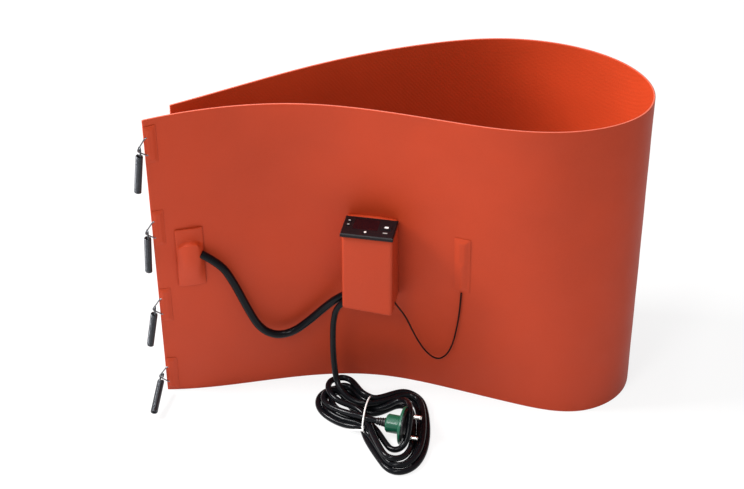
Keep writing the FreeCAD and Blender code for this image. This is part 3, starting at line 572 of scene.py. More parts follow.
class MESH_OT_heater_sheet(HeaterOperator):
    """Add the silicone heating sheet, standing on its edge in an open loop"""
    bl_idname = "mesh.heater_sheet"
    bl_label = "Heating Sheet"

    def sort_faces(self, mesh):
        """Give each face the outer, the inner or the cut edge's finish."""
        middle, normal = (np.empty(len(mesh.polygons) * 3) for kind in range(2))
        mesh.polygons.foreach_get("center", middle)
        mesh.polygons.foreach_get("normal", normal)
        table = np.linspace(0.0, BAND_LENGTH, 1200)
        outer, inner = (on_sheet(table, BAND_HEIGHT / 2, rise)[:, :2] * MM for rise in (0.0, -LOOK_DEPTH))
        nearest = np.array([np.argmin(((outer - spot) ** 2).sum(1)) for spot in middle.reshape(-1, 3)[:, :2]])
        toward = outer[nearest] - inner[nearest]
        facing = (normal.reshape(-1, 3)[:, :2] * toward).sum(1) / (LOOK_DEPTH * MM)
        slot = np.where(facing > 0.6, 0, np.where(facing < -0.6, 1, 2))
        mesh.polygons.foreach_set("material_index", slot.astype(np.int32))
        mesh.update()

    def execute(self, context):
        station, height = np.meshgrid(
            np.linspace(0.0, BAND_LENGTH, 360),
            np.concatenate([[0.0, 0.8], np.linspace(2.0, BAND_HEIGHT - 2.0, 72), [BAND_HEIGHT - 0.8, BAND_HEIGHT]]))
        inset = np.minimum(np.minimum(station, BAND_LENGTH - station), np.minimum(height, BAND_HEIGHT - height))
        ripple = (0.10 * np.sin(station / 31.0 + height / 90.0) + 0.08 * np.sin(station / 12.7 - height / 37.0) +
                  0.05 * np.sin(height / 9.0 + station / 70.0)) * np.clip(inset / 6.0, 0, 1)
        sheet = blanket("heating_sheet", station, height, ripple - SKIN, ripple - BAND_THICK,
                        [silicone_finish(), inner_silicone_finish(), silicone_edge_finish()])
        sheet = rounded(sheet, sizes().rim, 3, 50.0)
        self.sort_faces(sheet.data)
        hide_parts("heater_band")
        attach(sheet, "band")
        return {"FINISHED"}


class MESH_OT_heater_patches(HeaterOperator):
    """Add the raised patches that hold the links, the catches and the sensor"""
    bl_idname = "mesh.heater_patches"
    bl_label = "Silicone Patches"

    def patch(self, name, start, end, low, high, thick, foot, slope, swell, node):
        """Pad from foot to thick, over a slope at its edges.  Millimetres."""
        station, height = np.meshgrid(np.linspace(start, end, max(12, int((end - start) / 0.6))),
                                      np.linspace(low, high, max(14, int((high - low) / 0.9))))
        inset = np.minimum(np.minimum(station - start, end - station), np.minimum(height - low, high - height))
        edge = np.clip(inset / slope, 0, 1)
        top = foot + (thick - foot) * edge * edge * (3 - 2 * edge) + swell(station, height)
        piece = blanket(name, station, height, top, BOND, [bpy.data.materials["red_silicone"]])
        piece = rounded(piece, 0.00015, 2, 40.0)
        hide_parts(node)
        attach(piece, "band")

    def execute(self, context):
        for row, middle in zip(ROWS, ROW_HEIGHTS):
            def over_link(station, height):
                wire = np.exp(-((station - 3.5) / 1.4) ** 2) * np.clip((11.5 - abs(height - middle)) / 2, 0, 1)
                return 0.30 * wire

            def over_catch(station, height):
                wire = np.exp(-((height - middle) / 1.3) ** 2) * (station > BAND_LENGTH - 9.5)
                return 0.30 * wire

            for name, start, end, swell, node in (
                    ("link_patch_%d", 0.15, 11.0, over_link, "edge_patch_%d"),
                    ("catch_pad_%d", BAND_LENGTH - 11.0, BAND_LENGTH - 0.15, over_catch, "catch_patch_%d")):
                self.patch(name % row, start, end, middle - 18.5, middle + 18.5, 1.45, 0.35, 4.2, swell, node % row)

        def over_probe(station, height):
            along = np.clip((153.5 - height) / 3, 0, 1) * np.clip((height - 121.0) / 3, 0, 1)
            return 0.55 * np.exp(-((station - 277.5) / 2.4) ** 2) * along

        self.patch("sensor_pad", 270.0, 285.0, 120.0, 180.0, 1.35, 0.12, 6.0, over_probe, "sensor_patch")
        return {"FINISHED"}


# Terminal cover: its lower left corner, as station and height on the sheet, then its net, each
# place as distance from its left side, height above its foot and rise off the sheet
COVER_PLACE = (19.0, 122.0)
COVER_NET = (
    ((0.0, 0.0, 1.3), (3.0, 0.0, 1.9), (10.0, 0.0, 2.3), (18.0, 0.0, 2.2), (21.5, 0.0, 1.8), (25.0, 0.0, 1.2)),
    ((0.0, 8.0, 2.6), (3.0, 8.0, 4.2), (10.0, 9.0, 5.6), (18.0, 8.0, 5.2), (21.5, 8.0, 3.4), (25.0, 7.0, 1.6)),
    ((0.0, 21.0, 3.2), (3.0, 22.0, 6.4), (9.0, 22.0, 9.4), (18.3, 20.0, 9.0), (22.0, 20.0, 5.0), (25.0, 20.0, 1.9)),
    ((0.0, 32.0, 3.4), (3.0, 33.0, 6.8), (9.0, 34.0, 10.2), (19.0, 32.0, 10.2), (23.0, 32.0, 7.2), (25.0, 32.0, 2.4)),
    ((0.0, 42.5, 2.6), (3.0, 44.0, 5.6), (10.0, 49.0, 8.8), (18.6, 47.5, 8.8), (22.4, 44.5, 5.4), (25.0, 42.0, 2.0)),
    ((0.0, 44.5, 1.9), (3.0, 45.8, 2.5), (10.0, 50.8, 2.9), (18.5, 49.3, 3.3), (21.9, 46.2, 2.6), (25.0, 44.5, 1.7)),
    ((0.0, 53.0, 1.6), (3.0, 53.5, 2.0), (10.0, 55.0, 2.3), (18.2, 54.5, 2.7), (21.6, 53.5, 2.0), (25.0, 53.0, 1.5)),
    ((0.0, 61.0, 1.2), (3.0, 61.0, 1.7), (10.0, 61.0, 2.0), (18.0, 61.0, 3.0), (21.5, 61.0, 2.0), (25.0, 61.0, 1.2)),
)


class MESH_OT_heater_cover(HeaterOperator):
    """Add the folded silicone cover over the heater lead's joint"""
    bl_idname = "mesh.heater_cover"
    bl_label = "Terminal Cover"

    def execute(self, context):
        net = np.array(COVER_NET)
        cover = blanket("lead_cover", COVER_PLACE[0] + net[:, :, 0], COVER_PLACE[1] + net[:, :, 1], net[:, :, 2], BOND,
                        [bpy.data.materials["red_silicone"]])
        cover = rounded(cover, 0.0006, 2, 50.0, 2)
        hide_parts("terminal_cover")
        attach(cover, "band")
        return {"FINISHED"}


# Control box: X along the sheet, -Y out from it
BOX_TURN = math.radians(-10.8285)
BOX_ORIGIN = (-25.1499, -42.4253)
BOX_HALF = 22.6
BOX_DEPTH = 28.0
BOX_BASE = 105.0
BOX_RIM = 186.3
BOX_LIP = 189.4
BOX_SLANT = 1.7
BOX_STATION = 196.2


def in_box(x, out, height):
    """Place in millimetres of a spot in the control box's own frame."""
    cosine, sine = math.cos(BOX_TURN), math.sin(BOX_TURN)
    return (BOX_ORIGIN[0] + x * cosine + out * sine, BOX_ORIGIN[1] + x * sine - out * cosine, height)


def sheet_behind(x, height):
    """How far out the sheet's face lies behind the box, at a place across it."""
    spots = on_sheet(np.linspace(BOX_STATION - 40, BOX_STATION + 40, 161), height, 0.0)
    cosine, sine = math.cos(BOX_TURN), math.sin(BOX_TURN)
    right = spots[:, 0] - BOX_ORIGIN[0]
    ahead = spots[:, 1] - BOX_ORIGIN[1]
    across = right * cosine + ahead * sine
    out = right * sine - ahead * cosine
    return float(np.interp(x, across, out))


class MESH_OT_heater_pocket(HeaterOperator):
    """Add the silicone pocket of the control box, with the flap behind the panel"""
    bl_idname = "mesh.heater_pocket"
    bl_label = "Control Pocket"

    def execute(self, context):
        vertices = []
        bend = 2.5
        sides = 14
        corner = 6

        def loop(height, pull, wall, bulge):
            """Add a ring round the pocket, from the back left round the front, and count its places."""
            half = BOX_HALF - wall - pull
            front = BOX_DEPTH - wall - pull
            turn = max(bend - wall, 0.5)
            places = []
            back_left, back_right = (sheet_behind(side, height) - 0.3 if wall == 0 else 0.0 for side in (-half, half))
            for step in range(sides):
                out = back_left + (front - turn - back_left) * step / sides
                places.append((-half - bulge * math.sin(math.pi * step / sides), out))
            for step in range(corner + 1):
                angle = math.pi / 2 * step / corner
                places.append((-half + turn - turn * math.cos(angle), front - turn + turn * math.sin(angle)))
            for step in range(1, 24):
                share = step / 24
                places.append((-half + turn + 2 * (half - turn) * share,
                               front + bulge * math.sin(math.pi * share)))
            for step in range(corner + 1):
                angle = math.pi / 2 * step / corner
                places.append((half - turn + turn * math.sin(angle), front - turn + turn * math.cos(angle)))
            for step in range(1, sides + 1):
                out = front - turn + (back_right - front + turn) * step / sides
                places.append((half + bulge * math.sin(math.pi * (1 - step / sides)), out))
            for step in range(1, 12):
                x = half - 2 * half * step / 12
                places.append((x, sheet_behind(x, height) - 0.3 if wall == 0 else 0.0))
            slant = BOX_SLANT * max(0.0, 1.0 - (height - BOX_BASE) / 30.0)
            for x, out in places:
                vertices.append(in_box(x, out, height - slant * x / BOX_HALF))
            return len(places)

        levels = []
        for step in range(6):
            angle = math.pi / 2 * (5 - step) / 5
            levels.append((BOX_BASE + bend * (1 - math.sin(angle)), bend * (1 - math.cos(angle)), 0.0, 0.0))
        for step in range(1, 15):
            share = step / 15
            levels.append((BOX_BASE + bend + (BOX_RIM - 0.4 - BOX_BASE - bend) * share, 0.0, 0.0,
                           0.35 * math.sin(math.pi * share)))
        levels += [(BOX_RIM - 0.4, 0.0, 0.0, 0.0), (BOX_RIM, 0.35, 0.0, 0.0), (BOX_RIM, 0.0, 1.7, 0.0),
                   (BOX_RIM - 0.5, 0.0, 2.0, 0.0), (BOX_BASE + 2.0, 0.0, 2.0, 0.0)]
        for level in levels:
            around = loop(*level)
        pocket = outward_faces(new_piece("control_pocket", np.array(vertices) * MM, ring_faces(len(levels), around),
                                         [bpy.data.materials["red_silicone"]]))

        flap_vertices = []
        columns = 25
        profile = ((0.0, BOX_RIM - 3.0, 0), (0.0, BOX_LIP - 0.9, 0), (0.3, BOX_LIP - 0.2, 0), (0.5, BOX_LIP, 0),
                   (0.5, BOX_LIP, 1), (0.3, BOX_LIP - 0.2, 1), (0.0, BOX_LIP - 0.9, 1), (0.0, BOX_RIM - 3.0, 1))
        for column in range(columns):
            share = column / (columns - 1)
            x = (-BOX_HALF + 0.3) + 2 * (BOX_HALF - 0.3) * share
            drop = 0.8 * (abs(2 * share - 1) ** 6) + 0.25 * math.sin(share * 9.0)
            for inset, height, side in profile:
                level = height - (drop if height > BOX_RIM else 0.0)
                back = sheet_behind(x, level)
                out = back + 0.05 + inset if side else 1.1 - inset
                flap_vertices.append(in_box(x, min(out, 1.15), level))
        flap = outward_faces(new_piece("pocket_flap", np.array(flap_vertices) * MM, ring_faces(columns, len(profile)),
                                       [bpy.data.materials["red_silicone"]]))
        for piece in (pocket, flap):
            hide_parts("control_sleeve")
            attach(piece, "band")
        return {"FINISHED"}


# Springs: pivot of the hook in millimetres, direction of the coil, direction of the hook's bar
SPRINGS = (
    ((-221.41, -51.78, 16.08), (-0.087, -0.977, -0.195), (-0.609, 0.207, -0.766)),
    ((-221.40, -56.53, 98.83), (-0.172, 0.004, -0.985), (0.155, -0.987, -0.031)),
    ((-221.19, -59.78, 184.84), (-0.050, 0.017, -0.999), (0.275, -0.961, -0.030)),
    ((-220.92, -63.04, 271.84), (-0.112, -0.016, -0.994), (0.391, -0.920, -0.029)),
)
HOOK_LENGTH = 5.9


def spring_tree():
    """Geometry nodes: a close-wound coil, joined to the hook's line, swept with round wire."""
    tree = bpy.data.node_groups.new("Close-wound spring", "GeometryNodeTree")
    interface = tree.interface
    interface.new_socket("Geometry", in_out="OUTPUT", socket_type="NodeSocketGeometry")
    interface.new_socket("Hook", in_out="INPUT", socket_type="NodeSocketGeometry")
    inputs = {}
    for name, kind, default in (("Turns", "NodeSocketFloat", 21.0), ("Coil radius", "NodeSocketFloat", 0.0025),
                                ("Wire radius", "NodeSocketFloat", 0.0008), ("Start", "NodeSocketFloat", 0.0051),
                                ("Finish", "NodeSocketMaterial", None)):
        socket = interface.new_socket(name, in_out="INPUT", socket_type=kind)
        if default is not None:
            socket.default_value = default
        inputs[name] = socket.identifier

    def add(kind, settings=None, sockets=None):
        return new_node(tree, kind, settings, sockets)

    given = add("NodeGroupInput")
    pitch = given.out("Wire radius") * 2.0
    coil = add("GeometryNodeCurveSpiral", None,
               {"Resolution": 28, "Rotations": given.out("Turns"), "Start Radius": given.out("Coil radius"),
                "End Radius": given.out("Coil radius"), "Height": given.out("Turns") * pitch * 0.985})
    shift = add("ShaderNodeCombineXYZ", None, {0: given.out("Start") + given.out("Wire radius")})
    placed = add("GeometryNodeTransform", None,
                 {"Geometry": coil.out("Curve"), "Translation": shift.out(0), "Rotation": (0.0, math.pi / 2, 0.0)})
    both = tree.nodes.new("GeometryNodeJoinGeometry")
    tree.links.new(placed.item.outputs["Geometry"], both.inputs[0])
    tree.links.new(given.item.outputs["Hook"], both.inputs[0])
    ring = add("GeometryNodeCurvePrimitiveCircle", None, {"Resolution": 10, "Radius": given.out("Wire radius")})
    tube = add("GeometryNodeCurveToMesh", None,
               {"Curve": Shade(tree, both.outputs[0]), "Profile Curve": ring.out("Curve"), "Fill Caps": True})
    smooth = add("GeometryNodeSetShadeSmooth", None, {"Geometry": tube.out("Mesh")})
    real = add("GeometryNodeRealizeInstances", None, {"Geometry": smooth.out("Geometry")})
    finish = add("GeometryNodeSetMaterial", None, {"Geometry": real.out("Geometry"), "Material": given.out("Finish")})
    add("NodeGroupOutput", None, {0: finish.out("Geometry")})
    return tree, inputs


class MESH_OT_heater_springs(HeaterOperator):
    """Add the four close-wound springs, each hooked to its link"""
    bl_idname = "mesh.heater_springs"
    bl_label = "Tension Springs"

    def execute(self, context):
        tree, inputs = spring_tree()
        steel = steel_finish("spring_steel", tuple(colours().spring), 1100.0, 0.24)
        radius = sizes().coil_radius / MM
        start = HOOK_LENGTH - sizes().coil_wire / MM
        for row, (pivot, axis, side) in zip(ROWS, SPRINGS):
            route = [(start + 1.7, 0.0, -radius), (start + 1.0, radius * 0.9, -radius * 0.6),
                     (start + 0.3, radius * 0.9, radius * 0.5), (start - 0.6, 0.2, radius), (start - 1.7, 0.0, radius),
                     (radius * 0.9, 0.0, radius), (0.0, 0.0, radius), (-radius * 0.8, 0.0, radius * 0.9),
                     (-radius * 1.12, 0.0, 0.0), (-radius * 0.75, 0.0, -radius * 0.85), (0.2, 0.0, -radius),
                     (radius * 0.9, 0.0, -radius * 0.95)]
            spring = linked("spring_coil_%d" % row, nurbs_line("hook_line", route, 16, MM))
            modifier = spring.modifiers.new("Winding", "NODES")
            modifier.node_group = tree
            for name, given in (("Turns", float(sizes().coil_turns)), ("Coil radius", sizes().coil_radius),
                                ("Wire radius", sizes().coil_wire), ("Start", start * MM), ("Finish", steel)):
                modifier[inputs[name]] = given
            spring = settle(spring)
            axis, side = Vector(axis).normalized(), Vector(side).normalized()
            across = side.cross(axis).normalized()
            place = Matrix((axis, across, side)).transposed().to_4x4()
            place.translation = Vector(pivot) * MM
            spring.data.transform(place)
            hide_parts("tension_spring_%d" % row)
            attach(spring, "spring_%d" % row)
        return {"FINISHED"}


# Cords: control points of their routes, in metres


LEAD_ROUTE = (
    (-0.1773, -0.0529, 0.1576), (-0.1608, -0.0512, 0.1460), (-0.1501, -0.0507, 0.1260), (-0.1368, -0.0496, 0.0900),
    (-0.1281, -0.0487, 0.0710), (-0.1148, -0.0464, 0.0605), (-0.0985, -0.0437, 0.0620), (-0.0825, -0.0424, 0.0755),
    (-0.0685, -0.0440, 0.0915), (-0.0570, -0.0493, 0.1060), (-0.0447, -0.0522, 0.1150),
)
WIRE_ROUTE = (
    (-0.0095, -0.0595, 0.1157), (-0.0030, -0.0599, 0.1045), (0.0048, -0.0535, 0.0880), (0.0145, -0.0517, 0.0620),
    (0.0238, -0.0515, 0.0450), (0.0337, -0.0526, 0.0370), (0.0420, -0.0548, 0.0425), (0.0480, -0.0573, 0.0580),
    (0.0515, -0.0593, 0.0820), (0.0533, -0.0602, 0.1030), (0.0538, -0.0604, 0.1198),
)
MAINS_ROUTE = (
    # from the control box down to the ground
    (-0.0461, -0.0598, 0.1138), (-0.0572, -0.0578, 0.1040), (-0.0608, -0.0575, 0.0860), (-0.0614, -0.0570, 0.0690),
    (-0.0614, -0.0570, 0.0515), (-0.0606, -0.0590, 0.0365), (-0.0588, -0.0645, 0.0240), (-0.0550, -0.0725, 0.0175),
    (-0.0490, -0.0795, 0.0150), (-0.0412, -0.0845, 0.0135), (-0.0322, -0.0871, 0.0128),
    # first turn: right side, on top
    (-0.0241, -0.0855, 0.0123), (-0.0169, -0.0825, 0.0114), (-0.0095, -0.0785, 0.0104), (-0.0032, -0.0743, 0.0098),
    (0.0024, -0.0710, 0.0092), (0.0083, -0.0697, 0.0086), (0.0138, -0.0715, 0.0081), (0.0176, -0.0761, 0.0078),
    (0.0196, -0.0828, 0.0075), (0.0206, -0.0910, 0.0073), (0.0210, -0.1002, 0.0072), (0.0210, -0.1106, 0.0071),
    (0.0204, -0.1210, 0.0070), (0.0191, -0.1313, 0.0069), (0.0169, -0.1413, 0.0069), (0.0136, -0.1498, 0.0069),
    (0.0093, -0.1567, 0.0068), (0.0038, -0.1616, 0.0067), (-0.0031, -0.1633, 0.0067), (-0.0093, -0.1608, 0.0070),
    (-0.0134, -0.1556, 0.0073), (-0.0167, -0.1486, 0.0074), (-0.0205, -0.1399, 0.0071), (-0.0242, -0.1312, 0.0069),
    (-0.0280, -0.1221, 0.0062),
    # left side, outermost, on the ground
    (-0.0330, -0.1152, 0.0088), (-0.0394, -0.1109, 0.0059), (-0.0474, -0.1068, 0.0037), (-0.0552, -0.1026, 0.0029),
    (-0.0631, -0.0969, 0.0029), (-0.0700, -0.0897, 0.0029), (-0.0747, -0.0810, 0.0029), (-0.0760, -0.0717, 0.0029),
    (-0.0736, -0.0632, 0.0029), (-0.0677, -0.0567, 0.0029), (-0.0600, -0.0531, 0.0029), (-0.0519, -0.0538, 0.0029),
    (-0.0457, -0.0590, 0.0029), (-0.0410, -0.0661, 0.0029), (-0.0366, -0.0738, 0.0030), (-0.0312, -0.0814, 0.0038),
    # second turn: right side, innermost, over the plug's pins
    (-0.0243, -0.0860, 0.0061), (-0.0169, -0.0869, 0.0078), (-0.0098, -0.0849, 0.0096), (-0.0035, -0.0827, 0.0122),
    (0.0023, -0.0845, 0.0149), (0.0059, -0.0902, 0.0187), (0.0075, -0.0979, 0.0226), (0.0083, -0.1066, 0.0265),
    (0.0084, -0.1158, 0.0286), (0.0078, -0.1243, 0.0248), (0.0068, -0.1316, 0.0186), (0.0046, -0.1376, 0.0120),
    (0.0005, -0.1417, 0.0083), (-0.0047, -0.1427, 0.0067), (-0.0094, -0.1402, 0.0059), (-0.0127, -0.1347, 0.0059),
    (-0.0162, -0.1273, 0.0061), (-0.0200, -0.1192, 0.0066), (-0.0247, -0.1112, 0.0069),
    # left side, inside
    (-0.0305, -0.1045, 0.0071), (-0.0370, -0.1004, 0.0077), (-0.0445, -0.0969, 0.0076), (-0.0516, -0.0930, 0.0071),
    (-0.0573, -0.0876, 0.0064), (-0.0614, -0.0807, 0.0058), (-0.0636, -0.0732, 0.0053), (-0.0631, -0.0653, 0.0061),
    (-0.0597, -0.0586, 0.0077), (-0.0534, -0.0555, 0.0086), (-0.0470, -0.0572, 0.0085), (-0.0425, -0.0626, 0.0083),
    (-0.0388, -0.0684, 0.0084), (-0.0348, -0.0741, 0.0084), (-0.0296, -0.0786, 0.0084),
    # third turn: right side, on the ground, under the pins
    (-0.0234, -0.0814, 0.0075), (-0.0170, -0.0793, 0.0062), (-0.0106, -0.0765, 0.0046), (-0.0052, -0.0733, 0.0035),
    (0.0001, -0.0709, 0.0031), (0.0057, -0.0704, 0.0029), (0.0110, -0.0727, 0.0029), (0.0146, -0.0773, 0.0029),
    (0.0164, -0.0836, 0.0029), (0.0171, -0.0913, 0.0029), (0.0175, -0.0997, 0.0029), (0.0174, -0.1096, 0.0029),
    (0.0170, -0.1195, 0.0029), (0.0157, -0.1293, 0.0029), (0.0138, -0.1386, 0.0029), (0.0109, -0.1465, 0.0029),
    (0.0072, -0.1528, 0.0029), (0.0022, -0.1572, 0.0029), (-0.0036, -0.1583, 0.0029), (-0.0089, -0.1560, 0.0029),
    (-0.0125, -0.1511, 0.0029), (-0.0151, -0.1444, 0.0029), (-0.0184, -0.1358, 0.0029), (-0.0216, -0.1274, 0.0029),
    (-0.0253, -0.1187, 0.0036),
    # left side, just inside the outermost
    (-0.0297, -0.1122, 0.0052), (-0.0370, -0.1060, 0.0059), (-0.0450, -0.1020, 0.0048), (-0.0525, -0.0979, 0.0039),
    (-0.0596, -0.0924, 0.0035), (-0.0657, -0.0860, 0.0033), (-0.0695, -0.0786, 0.0034), (-0.0702, -0.0703, 0.0030),
    (-0.0668, -0.0630, 0.0029), (-0.0605, -0.0590, 0.0029), (-0.0533, -0.0598, 0.0029), (-0.0481, -0.0646, 0.0040),
    (-0.0440, -0.0713, 0.0047), (-0.0402, -0.0781, 0.0047), (-0.0351, -0.0849, 0.0045),
    # fourth turn: right side, across the middle
    (-0.0269, -0.0898, 0.0029), (-0.0200, -0.0884, 0.0029), (-0.0136, -0.0849, 0.0029), (-0.0084, -0.0814, 0.0029),
    (-0.0038, -0.0787, 0.0029), (0.0011, -0.0779, 0.0029), (0.0057, -0.0793, 0.0029), (0.0090, -0.0826, 0.0029),
    (0.0107, -0.0874, 0.0029), (0.0115, -0.0934, 0.0029), (0.0118, -0.1001, 0.0029), (0.0118, -0.1102, 0.0029),
    (0.0113, -0.1203, 0.0034), (0.0101, -0.1303, 0.0043), (0.0085, -0.1400, 0.0063), (0.0059, -0.1480, 0.0084),
    (0.0026, -0.1545, 0.0101), (-0.0018, -0.1587, 0.0115), (-0.0073, -0.1599, 0.0123), (-0.0123, -0.1579, 0.0127),
    (-0.0159, -0.1533, 0.0128), (-0.0185, -0.1467, 0.0128), (-0.0216, -0.1381, 0.0126), (-0.0244, -0.1294, 0.0123),
    (-0.0272, -0.1202, 0.0121),
    # left side, on top
    (-0.0321, -0.1027, 0.0124), (-0.0372, -0.0958, 0.0132), (-0.0438, -0.0909, 0.0134), (-0.0514, -0.0872, 0.0137),
    (-0.0586, -0.0825, 0.0142), (-0.0640, -0.0756, 0.0152), (-0.0665, -0.0673, 0.0158), (-0.0654, -0.0589, 0.0153),
    (-0.0603, -0.0525, 0.0140), (-0.0531, -0.0500, 0.0135), (-0.0465, -0.0525, 0.0132), (-0.0422, -0.0585, 0.0133),
    (-0.0389, -0.0652, 0.0137), (-0.0354, -0.0716, 0.0138), (-0.0304, -0.0765, 0.0139),
    # fifth turn: right side, under the outermost
    (-0.0240, -0.0793, 0.0128), (-0.0169, -0.0766, 0.0119), (-0.0097, -0.0723, 0.0111), (-0.0033, -0.0679, 0.0098),
    (0.0029, -0.0649, 0.0087), (0.0097, -0.0643, 0.0066), (0.0159, -0.0672, 0.0047), (0.0203, -0.0728, 0.0038),
    (0.0226, -0.0805, 0.0029), (0.0238, -0.0897, 0.0029), (0.0245, -0.0998, 0.0029), (0.0246, -0.1110, 0.0029),
    (0.0240, -0.1221, 0.0029), (0.0225, -0.1332, 0.0029), (0.0201, -0.1437, 0.0029), (0.0164, -0.1528, 0.0029),
    (0.0116, -0.1602, 0.0029), (0.0052, -0.1655, 0.0029), (-0.0026, -0.1676, 0.0029), (-0.0097, -0.1652, 0.0029),
    (-0.0146, -0.1596, 0.0029), (-0.0184, -0.1522, 0.0029), (-0.0229, -0.1428, 0.0029), (-0.0271, -0.1334, 0.0029),
    (-0.0310, -0.1234, 0.0029),
    # left side the other way round, then on to the plug
    (-0.0335, -0.1131, 0.0029), (-0.0353, -0.1034, 0.0029), (-0.0379, -0.0949, 0.0029), (-0.0412, -0.0870, 0.0029),
    (-0.0452, -0.0797, 0.0029), (-0.0492, -0.0730, 0.0039), (-0.0538, -0.0672, 0.0076), (-0.0597, -0.0646, 0.0106),
    (-0.0657, -0.0656, 0.0110), (-0.0700, -0.0702, 0.0100), (-0.0707, -0.0768, 0.0096), (-0.0672, -0.0836, 0.0097),
    (-0.0614, -0.0896, 0.0104), (-0.0546, -0.0948, 0.0113), (-0.0476, -0.0994, 0.0125), (-0.0406, -0.1042, 0.0144),
    (-0.0341, -0.1092, 0.0166), (-0.0280, -0.1136, 0.0176), (-0.0215, -0.1160, 0.0176),
)


def cord_curve(name, route, diameter, finish):
    """One open NURBS line with a round section."""
    line = nurbs_line(name, route, 10)
    line.bevel_depth = diameter / 2
    line.bevel_resolution = 6
    line.use_fill_caps = True
    line.materials.append(finish)
    return linked(name, line)


class CURVE_OT_heater_leads(HeaterOperator):
    """Add the thick heater lead and the thin sensor wire"""
    bl_idname = "curve.heater_leads"
    bl_label = "Heater Lead and Sensor Wire"

    def execute(self, context):
        lead = cord_curve("heater_lead_line", LEAD_ROUTE, sizes().lead_diameter,
                          rubber_finish("lead_rubber", tuple(colours().lead), 0.07, 0.12))
        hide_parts("heater_lead")
        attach(lead, "band")
        wire = cord_curve("sensor_wire_line", WIRE_ROUTE, sizes().wire_diameter,
                          rubber_finish("wire_jacket", (0.006, 0.0016, 0.0014), 0.4, 0.08))
        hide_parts("sensor_wire")
        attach(wire, "band")
        return {"FINISHED"}


# Plug: its middle and the span of its cord guard in millimetres, its angles in degrees, and
# where the black sleeve of its pins ends, in metres
PLUG_PLACE = (0.8, -122.0, 17.6)
PLUG_YAW = -15.0
PLUG_ROLL = -42.0
GUARD_SPAN = (-23.0, -14.0)
PIN_SLEEVE_END = (0.0098, 0.0101)


class MESH_OT_heater_plug(HeaterOperator):
    """Add the plug's ribbed cord guard, and finish its mouldings and pins"""
    bl_idname = "mesh.heater_plug"
    bl_label = "Plug"

    def execute(self, context):
        turn = Matrix.Rotation(math.radians(PLUG_YAW), 4, "Z") @ Matrix.Rotation(math.radians(PLUG_ROLL), 4, "X")
        place = Matrix.Translation(Vector(PLUG_PLACE) * MM) @ turn
        tail, root = GUARD_SPAN
        rings = sizes().guard_rings
        profile = [(tail, 2.9), (tail, 3.1)]
        for ring in range(rings):
            start = tail + (root - tail) * (ring + 0.15) / rings
            end = tail + (root - tail) * (ring + 0.80) / rings
            high = 3.4 + 1.0 * ring / max(rings - 1, 1)
            profile += [(start - 0.15, high - 0.7), (start, high - 0.15), (start + 0.2, high), (end - 0.2, high),
                        (end, high - 0.15), (end + 0.15, high - 0.7)]
        profile += [(root + 0.3, 3.8)]
        around = 40
        vertices = []
        for x, radius in profile:
            for step in range(around):
                angle = 2 * math.pi * step / around
                vertices.append((x, radius * math.cos(angle), radius * math.sin(angle)))
        green = plastic_finish("green_plastic", tuple(colours().plug), 0.24, 900.0, 0.00003, 0.2)
        black = plastic_finish("black_plastic", tuple(colours().plug_face), 0.28, 1100.0)
        guard = outward_faces(new_piece("cord_guard", np.array(vertices) * MM, ring_faces(len(profile), around),
                                        [black]))
        guard.data.transform(place)
        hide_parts("plug_cord_guard")
        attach(guard, "band")
        paint("plug_body", green)
        paint("plug_face", black)
        pins = Finish("pin_metal", Metallic=0.0, Specular_IOR_Level=0.5)
        back = turn.to_3x3().inverted()
        local = pins.turned(location=tuple(back @ -(Vector(PLUG_PLACE) * MM)), rotation=tuple(back.to_euler()))
        bare = pins.axis("X", local).step(*PIN_SLEEVE_END)
        scratch = pins.noise(1300.0, 3.0)
        pins.feed("Base Color", pins.mix(bare, tuple(colours().plug_face),
                                         pins.mix(scratch, (0.60, 0.58, 0.54), (0.80, 0.78, 0.74))))
        pins.feed("Metallic", bare * 1.0)
        pins.feed("Roughness", scratch * 0.12 + 0.22)
        pins.bump(scratch, 0.00002)
        paint("plug_pin_upper", pins.material)
        paint("plug_pin_lower", pins.material)
        return {"FINISHED"}


def paint(node, material):
    """Give a CAD node's object a finish."""
    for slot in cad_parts[node].material_slots:
        slot.material = material


# Twist tie: its wire's radius, its line round the bundle, then its two ends
TIE_RADIUS = 0.00075
TIE_LOOP = (
    (-31.0, -98.0, 0.7), (-30.0, -88.0, 0.7), (-28.5, -82.0, 0.9), (-27.2, -77.6, 3.5), (-27.0, -76.8, 8.5),
    (-27.2, -78.5, 14.0), (-28.2, -84.5, 18.6), (-30.0, -93.0, 20.7), (-31.8, -102.0, 21.3), (-32.8, -110.0, 21.4),
    (-33.6, -116.4, 20.6), (-34.2, -119.6, 17.0), (-34.3, -119.4, 12.0), (-33.6, -117.6, 6.5), (-32.5, -114.5, 2.2),
    (-31.5, -108.0, 0.7), (-31.0, -98.0, 0.7),
)
TIE_TAILS = (
    ((-33.4, -118.4, 13.4), (-34.6, -120.4, 12.2), (-33.6, -120.8, 10.6), (-35.2, -119.6, 9.4), (-39.5, -116.6, 7.4),
     (-44.0, -113.4, 4.6), (-48.6, -110.6, 2.2)),
    ((-34.8, -118.4, 13.0), (-33.4, -120.4, 11.8), (-34.6, -120.8, 10.4), (-33.4, -119.8, 8.6), (-32.0, -118.6, 5.6),
     (-30.4, -117.8, 2.8), (-28.6, -117.2, 1.2)),
)


